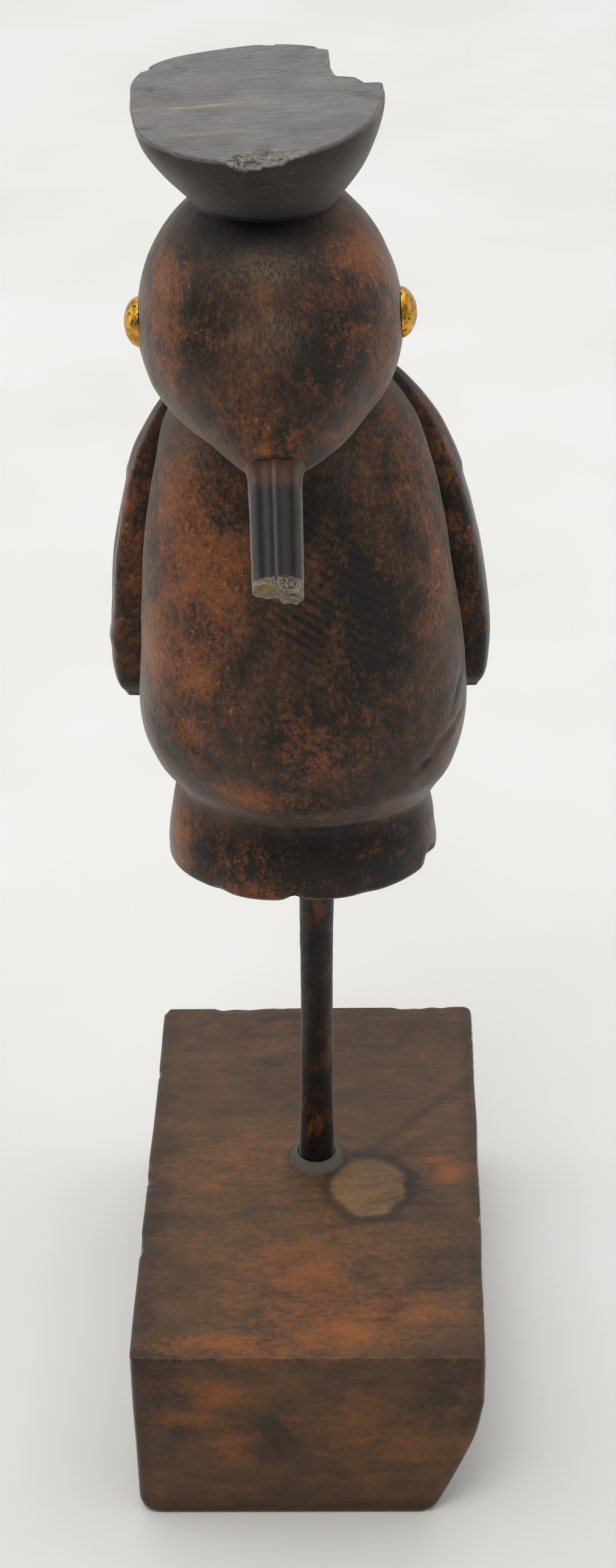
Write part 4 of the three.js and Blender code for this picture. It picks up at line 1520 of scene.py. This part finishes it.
    def build(self, rod: Rod, material: bpy.types.Material) -> bpy.types.Object:
        """Make the block with the rod's hole in its top.

        Args:
            rod: The rod that stands in it.
            material: Its finish.

        Returns:
            The piece, which stands for its node.
        """
        piece = self.shell(rod).to_object("wooden_block", [material])
        hole = rod.hole(self.height - rod.socket, self.height + rod.socket).to_object("hole", [material])
        combine(piece, hole, "DIFFERENCE")
        points = points_of(piece)
        x, y, z = points.T
        foot = np.hypot((x - rod.foot_x) / 1.05, y - rod.foot_y + 1.2)
        around_rod = step(-foot, -5.6, -4.6) * step(z, 37, 37.8)
        curl = hollows(piece, 3)
        edge = step(-curl, 0.02, 0.14)
        upper = step(z, 36.5, 37.9)
        store(piece, "rust", patchwork(BLOCK_RUST, points) * 0.95 + 0.2 * edge * upper)
        # Dark spots on the top, and painted shade along the left top edge and the front's sides.
        store(piece, "dark_patches_and_shade", patchwork(BLOCK_DARK_PATCHES_AND_SHADE, points))
        store(piece, "filler", around_rod)
        # Painted shade on the long sides and along the bottom, a dark ring round the filler, and dark grain
        # lines.
        painted_edge_shade = 0.5 * step(np.abs(x), 28.0, 31.9) + 0.4 * step(-z, -6.0, -0.5)
        store(piece, "grime_and_shade", 0.5 * hump(foot - 5.2, 0.5) * upper + painted_edge_shade + grain_lines(points))
        store(piece, "shine", edge * step(z, 34, 37))
        soften(piece, 40)
        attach(piece, "root")
        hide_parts("base_block")
        return piece


def grain_lines(points: Array) -> Array:
    """Say where dark grain lines run on the block's top, from the knot to the back corner at +X."""
    lines = (
        ((8.5, 2.5, 38.0), (31.5, 28.5, 38.0), 0.5, 1.3),
        ((9.5, -0.5, 38.0), (24.0, 10.5, 38.0), 0.35, 1.6),
        ((17.5, -9.0, 38.0), (27.0, -15.0, 38.0), 0.3, 1.8),
    )
    return sum(strength * along_line(points, a, b, width) for a, b, strength, width in lines)


BLOCK_NICKS = (
    (21.0, 52.7, 1.6, 0.4), (25.5, 52.7, 1.2, 0.3), (-14.0, 52.7, 2.2, 0.3), (16.0, -52.7, 1.4, 0.35),
    (-29.5, -52.7, 1.4, 0.7), (29.5, -52.7, 2.4, 0.9), (-8.0, -52.7, 1.8, 0.3), (32.0, -12.0, 1.6, 0.6),
)
BLOCK_RUST = (
    Patch((-2.0, -33.0, 38.0), (15.0, 13.0, 3.0), 0.62),
    Patch((-16.0, -49.0, 38.0), (14.0, 3.2, 3.0), 0.9),
    Patch((7.0, -45.0, 38.0), (8.0, 5.0, 3.0), 0.85),
    Patch((26.5, -1.5, 38.0), (4.0, 3.4, 3.0), 1.0),
    Patch((24.0, 2.5, 38.0), (5.0, 1.4, 3.0), 0.7),
    Patch((-14.0, 2.0, 38.0), (13.0, 9.0, 3.0), 0.45),
    Patch((20.0, -40.0, 38.0), (8.0, 7.0, 3.0), 0.4),
    Patch((-17.0, -52.7, 29.5), (6.0, 3.0, 3.6), 0.95),
    Patch((-22.0, -52.7, 23.5), (8.0, 3.0, 3.0), 0.8),
    Patch((-14.0, -52.7, 17.0), (4.0, 3.0, 3.6), 0.9),
    Patch((9.0, -52.7, 20.0), (14.0, 3.0, 9.0), 0.45),
    Patch((0.0, 52.7, 20.0), (18.0, 4.0, 9.0), 0.5),
    Patch((32.0, 10.0, 30.0), (3.0, 16.0, 7.0), 0.5),
    Patch((-32.0, -14.0, 18.0), (3.0, 18.0, 8.0), 0.5),
)
# Dark spots on the top, and painted shade along the left top edge and the front's sides.
BLOCK_DARK_PATCHES_AND_SHADE = (
    Patch((18.5, -6.5, 38.0), (4.2, 5.0, 3.0), 0.55),
    Patch((14.5, -39.5, 38.0), (2.6, 4.2, 3.0), 0.75),
    Patch((24.0, -26.0, 38.0), (7.0, 10.0, 3.0), 0.35),
    Patch((-29.5, -20.0, 38.0), (3.0, 34.0, 4.0), 0.4),
    Patch((-27.0, -52.7, 32.0), (6.0, 3.0, 8.0), 0.5),
    Patch((-6.0, -52.7, 20.0), (4.0, 3.0, 5.0), 0.5),
    Patch((26.0, -52.7, 30.0), (7.0, 3.0, 10.0), 0.5),
    Patch((0.0, 45.0, 38.0), (34.0, 9.0, 3.0), 0.3),
)


@dataclass
class CarvedBird:
    """The bird: body, wings, tail, head, beak and cap, carved in one."""

    body: BodyForm = field(default_factory=BodyForm)
    wings: WingForm = field(default_factory=WingForm)
    tail: TailForm = field(default_factory=TailForm)
    head: HeadForm = field(default_factory=HeadForm)
    beak: BeakForm = field(default_factory=BeakForm)
    cap: CapForm = field(default_factory=CapForm)

    def build(self, rod: Rod, eyes: tuple[TackEye, ...]) -> bpy.types.Object:
        """Make the bird as one closed mesh and dress it.

        Args:
            rod: The rod that it stands on.
            eyes: The tacks that need seats.

        Returns:
            The piece, which stands for its node.
        """
        materials = [StainedWood().material(), CapWood().material(), BeakHorn().material()]
        piece = self.body.shell(self.wings).to_object("carved_bird", materials)
        forms = [
            self.wings.shell(1, self.body),
            self.wings.shell(-1, self.body),
            self.tail.shell(),
            self.head.shell(),
            self.beak.shell(self.head),
            self.cap.shell(self.head),
        ]
        for form in forms:
            combine(piece, form.to_object("form", materials), "UNION")
        foot = self.body.stations[0][0]
        cuts = [eye.seat(self.head) for eye in eyes]
        cuts.append(rod.hole(foot - rod.socket, foot + rod.socket))
        for cut in cuts:
            combine(piece, cut.to_object("cut", materials), "DIFFERENCE")
        self.dress(piece)
        soften(piece, 42)
        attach(piece, "root")
        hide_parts("bird")
        return piece

    def dress(self, piece: bpy.types.Object) -> None:
        """Keep what the materials read at each point, such as rust, grime with painted shade, painted sheen
        and what is broken.
        """
        points = points_of(piece)
        curl = hollows(piece, 4)
        low = (points - np.array(self.head.centre)) @ self.head.placement()[:3, :3]
        along, across, above = self.head.beak_axes()
        beak_far, beak_x, beak_y = low @ along, low @ across, low @ above
        turns, middles = self.cap.frames(np.array([1.0]))
        cap = (low - middles[0]) @ turns[0]
        in_cap = step(cap[:, 2], -15.5, -14.5)
        radius = np.hypot(cap[:, 0], cap[:, 1])
        top = step(cap[:, 2], -0.9, -0.25)
        edge = step(-curl, 0.05, 0.16)
        whole = self.cap.broken_reach(np.arctan2(cap[:, 1], cap[:, 0]), -cap[:, 2])
        snapped = step(radius - whole, -0.25, -0.05) * in_cap * (radius < 19)
        chip_face = self.cap.chip_face(cap[:, 0], np.minimum(cap[:, 2], 0))
        chipped = step(chip_face - cap[:, 1], -0.3, -0.1)
        chipped *= in_cap * step(-cap[:, 1], 0, 5) * step(-cap[:, 2], -0.05, 0.1)
        beak_end = step(beak_far, self.beak.length_left - 1.4, self.beak.length_left - 0.5)
        rust = patchwork(BIRD_RUST, points) * (1 - in_cap)
        rim = in_cap * edge * step(cap[:, 0], 4, 10) * step(-cap[:, 1], -2, 2)
        store(piece, "rust", rust + 0.1 + 0.15 * edge * (1 - in_cap) + rim)
        # Darker patches: painted shade under the cap, on the chest under the beak and under the belly over
        # the foot, and darker tone elsewhere.
        store(piece, "dark_patches_and_shade", patchwork(BIRD_DARK_PATCHES_AND_SHADE, points))
        worn = in_cap * edge * step(-cap[:, 0], -6, 6) * (cap[:, 1] < 0)
        # Painted shade, with some grime, in hollows and creases, painted shade under the cap and the belly,
        # and the cap's dark worn rim.
        grime_and_shade = 0.9 * step(curl, 0.04, 0.16) + patchwork(BIRD_PAINTED_SHADE, points)
        store(piece, "grime_and_shade", grime_and_shade + 0.8 * worn * (1 - chipped))
        # Pale dust with painted sheen on the head and shoulders, and a painted highlight on the rim of the
        # beak's break.
        tip = step(beak_far, self.beak.length_left - 2.2, self.beak.length_left - 1.2) * edge
        store(piece, "dust_and_sheen", patchwork(BIRD_DUST_AND_SHEEN, points) * (1 - in_cap) + 0.8 * tip)
        store(piece, "root", step(-beak_far, -33.0, -26.5))
        store(piece, "rasp", Patch((4.0, -17.5, 171.0), (9.5, 8.0, 13.0), 1.0).at(points))
        # The cap's top face, which its material paints a lighter grey, partly as a painted sheen.
        store(piece, "top", top * in_cap)
        streaks = 0.7 * hump(cap[:, 1] + 0.4, 0.45) * step(-cap[:, 0], -7, 6)
        streaks += 0.3 * hump(cap[:, 1] + 9.6, 0.8) * hump(cap[:, 0] + 7, 7)
        store(piece, "streak", streaks * top)
        store(piece, "fresh", np.maximum(np.maximum(0.8 * snapped, chipped), beak_end * (beak_far > 40)))
        # Both sides of the beak, which its material paints paler as a painted reflection.
        store(piece, "side", step(np.abs(beak_x), 3.3, 4.1) * (beak_far > 20))
        pit = np.exp(-(((beak_x + 1.9) / 1.7) ** 2 + ((beak_y - 0.9) / 1.8) ** 2))
        store(piece, "pit", pit * beak_end)


BIRD_RUST = (
    Patch((-18.1, -9.6, 225.0), (4.0, 6.0, 6.0), 0.62),
    Patch((-19.4, -12.0, 215.0), (4.0, 6.0, 7.0), 0.6),
    Patch((11.1, -9.5, 227.7), (6.0, 6.0, 4.0), 0.6),
    Patch((15.3, -5.1, 223.5), (3.5, 5.0, 5.0), 0.5),
    Patch((11.8, -14.5, 217.3), (3.6, 4.0, 2.6), 0.62),
    Patch((15.1, -11.1, 211.5), (3.0, 5.0, 4.0), 0.5),
    Patch((-7.8, -21.9, 205.0), (5.0, 4.0, 3.4), 0.5),
    Patch((-2.9, -22.3, 201.1), (1.6, 3.0, 1.5), 1.0),
    Patch((2.1, -21.5, 201.9), (3.2, 3.0, 2.6), 0.72),
    Patch((7.2, -17.0, 200.0), (2.4, 3.0, 1.8), 0.6),
    Patch((-16.8, -9.6, 184.0), (7.0, 8.0, 13.0), 0.62),
    Patch((-14.5, -13.0, 172.0), (9.0, 9.0, 12.0), 0.45),
    Patch((-24.3, -7.4, 157.0), (4.0, 6.0, 8.0), 0.85),
    Patch((-16.5, -15.0, 155.5), (6.0, 5.0, 6.0), 0.7),
    Patch((-18.7, -15.0, 145.0), (3.6, 4.0, 5.0), 0.75),
    Patch((19.8, -3.4, 191.3), (6.0, 7.0, 10.0), 0.4),
    Patch((24.5, -6.0, 172.0), (3.0, 5.0, 13.0), 0.5),
    Patch((3.0, -20.6, 146.0), (8.0, 5.0, 7.0), 0.28),
    Patch((-6.1, -18.6, 133.6), (9.0, 5.0, 3.4), 0.62),
    Patch((-21.4, -3.6, 118.0), (3.0, 6.0, 7.0), 0.66),
    Patch((-8.0, -14.0, 111.0), (8.0, 4.0, 2.6), 0.4),
    Patch((-27.5, 3.5, 172.0), (3.0, 3.0, 26.0), 0.55),
    Patch((28.0, 3.0, 178.0), (3.5, 3.0, 18.0), 0.25),
    Patch((0.0, 32.0, 176.0), (9.0, 6.0, 16.0), 0.45),
    Patch((0.6, 40.0, 128.0), (8.0, 8.0, 10.0), 0.45),
    Patch((-24.0, 24.0, 170.0), (9.0, 10.0, 14.0), 0.4),
    Patch((25.0, 22.0, 160.0), (9.0, 10.0, 12.0), 0.45),
    Patch((-4.0, 20.0, 218.0), (10.0, 6.0, 10.0), 0.4),
)
# Darker patches: painted shade under the cap, under the beak and under the belly, and darker tone elsewhere.
BIRD_DARK_PATCHES_AND_SHADE = (
    Patch((7.5, -18.4, 214.5), (5.0, 5.0, 5.5), 0.8),
    Patch((-12.1, -17.8, 219.0), (4.5, 5.0, 6.0), 0.6),
    Patch((-1.0, -12.0, 232.0), (9.0, 6.0, 4.0), 0.35),
    Patch((3.0, -16.0, 187.0), (6.5, 7.0, 12.0), 0.5),
    Patch((13.0, -14.0, 166.0), (7.0, 7.0, 14.0), 0.5),
    Patch((1.1, -21.0, 147.0), (5.6, 6.0, 6.0), 0.55),
    Patch((2.0, -14.0, 115.0), (19.0, 8.0, 9.0), 0.95),
    Patch((16.0, -8.0, 117.0), (10.0, 8.0, 8.0), 0.5),
    Patch((-31.0, 8.0, 165.0), (4.0, 7.0, 30.0), 0.45),
    Patch((31.0, 10.0, 168.0), (6.0, 9.0, 40.0), 1.0),
    Patch((12.0, -16.0, 213.0), (9.0, 8.0, 8.0), 0.35),
    Patch((9.0, -18.0, 150.0), (9.0, 8.0, 20.0), 0.35),
)
# Painted shade under the cap's waist and under the belly's overhang.
BIRD_PAINTED_SHADE = (
    Patch((-2.0, -11.5, 234.2), (13.0, 7.0, 3.8), 1.0),
    Patch((0.0, -14.0, 122.5), (20.0, 6.0, 3.0), 0.6),
)
# Pale patches of dust and painted sheen on the head and shoulders.
BIRD_DUST_AND_SHEEN = (
    Patch((-1.7, -20.2, 219.6), (6.0, 5.0, 5.0), 0.35),
    Patch((-2.0, -16.5, 229.0), (7.0, 5.0, 3.5), 0.5),
    Patch((8.0, -12.0, 196.0), (7.0, 7.0, 8.0), 0.3),
    Patch((-16.0, -6.0, 197.0), (5.0, 6.0, 6.0), 0.4),
)


@dataclass(frozen=True)
class Studio:
    """A pale floor under soft light, and the camera."""

    eye: tuple = (17.37, -437.81, 398.3)
    yaw: float = -2.115
    pitch: float = 31.932
    roll: float = 1.691
    focal_pixels: float = 4800.0
    image_height: float = 2576.0
    sensor: float = 36.0
    floor_half: float = 4000.0
    floor_colour: tuple = linear(232, 231, 228)

    def camera(self) -> None:
        """Make the camera from its yaw, its downward pitch and its roll."""
        yaw, pitch, roll = (math.radians(a) for a in (self.yaw, self.pitch, self.roll))
        level = math.cos(pitch)
        ahead = Vector((math.sin(yaw) * level, math.cos(yaw) * level, -math.sin(pitch)))
        right = Vector((math.cos(yaw), -math.sin(yaw), 0.0))
        down = ahead.cross(right)
        across = math.cos(roll) * right + math.sin(roll) * down
        up = math.sin(roll) * right - math.cos(roll) * down
        turn = Matrix((across, up, -ahead)).transposed().to_4x4()
        data = bpy.data.cameras.new("camera")
        data.sensor_width = self.sensor
        data.lens = self.focal_pixels / self.image_height * self.sensor
        data.clip_start, data.clip_end = 0.01, 50.0
        camera = bpy.data.objects.new("camera", data)
        camera.matrix_world = Matrix.Translation(Vector(self.eye) * MM) @ turn
        bpy.context.scene.collection.objects.link(camera)
        bpy.context.scene.camera = camera

    def floor(self) -> None:
        """Make the floor: a large flat sheet just under the block, with a fine even tooth."""
        half = self.floor_half * MM
        mesh = bpy.data.meshes.new("floor")
        corners = [(-half, -half, 0), (half, -half, 0), (half, half, 0), (-half, half, 0)]
        mesh.from_pydata(corners, [], [(0, 1, 2, 3)])
        paint = Paint("pale_floor")
        cloud = paint.noise((9, 9, 9), 3, 0.5)
        colour = paint.mix(paint.ramp(cloud, 0.3, 0.7), self.floor_colour, linear(226, 224, 219))
        tooth = paint.noise((900, 900, 900), 2, 0.5)
        tooth = paint.bump(tooth, 0.05, 0.3)
        mesh.materials.append(paint.finish(colour, 0.75, tooth, Specular_IOR_Level=0.25))
        floor = bpy.data.objects.new("floor", mesh)
        bpy.context.scene.collection.objects.link(floor)

    def light(self, name: str, spot: tuple, aim: tuple, size: tuple, watts: float) -> None:
        """Hang one soft light.

        Args:
            name: Its name.
            spot: Where it hangs, in metres.
            aim: The point that it faces, in metres.
            size: Its width and height in metres.
            watts: Its power.
        """
        data = bpy.data.lights.new(name, "AREA")
        data.shape = "RECTANGLE"
        data.size, data.size_y = size
        data.energy = watts
        lamp = bpy.data.objects.new(name, data)
        lamp.location = spot
        lamp.rotation_euler = (Vector(aim) - Vector(spot)).to_track_quat("-Z", "Y").to_euler()
        bpy.context.scene.collection.objects.link(lamp)

    def build(self) -> None:
        """Make the floor, the lights, the pale surroundings and the camera."""
        self.floor()
        self.camera()
        self.light("overhead", (0.0, 0.3, 2.2), (0, 0, 0.1), (3.0, 3.0), 38)
        self.light("behind", (0.0, 3.2, 1.3), (0, 0, 0.2), (5.0, 2.4), 28)
        self.light("left", (-2.2, 0.6, 0.9), (0, 0, 0.15), (1.6, 1.6), 13)
        self.light("right", (2.2, 0.6, 0.9), (0, 0, 0.15), (1.6, 1.6), 10)
        self.light("front_top", (-0.25, -0.75, 1.9), (0, 0, 0.2), (0.7, 0.7), 8)
        world = bpy.data.worlds.new("surroundings")
        world.use_nodes = True
        background = world.node_tree.nodes["Background"]
        background.inputs["Color"].default_value = (0.93, 0.96, 1.0, 1.0)
        background.inputs["Strength"].default_value = 0.28
        bpy.context.scene.world = world
        view = bpy.context.scene.view_settings
        view.view_transform = "Standard"
        view.look = "None"


def main() -> None:
    """Build every piece in order."""
    logging.basicConfig(level=logging.INFO, format="%(name)s: %(message)s")
    studio = Studio()
    studio.build()
    rod, block, bird = Rod(), Block(), CarvedBird()
    eyes = (TackEye(1), TackEye(-1))
    brass = OldBrass().material()
    pieces = [bird.build(rod, eyes)]
    pieces += [eye.build(bird.head, brass) for eye in eyes]
    pieces.append(rod.build(bird.body.stations[0][0], RodStain().material()))
    pieces.append(block.build(rod, BlockWood().material()))
    for piece in pieces:
        faces = sum(len(p.vertices) - 2 for p in piece.data.polygons)
        LOG.info("%s: %d triangles", piece.name, faces)


if __name__ == "__main__":
    main()
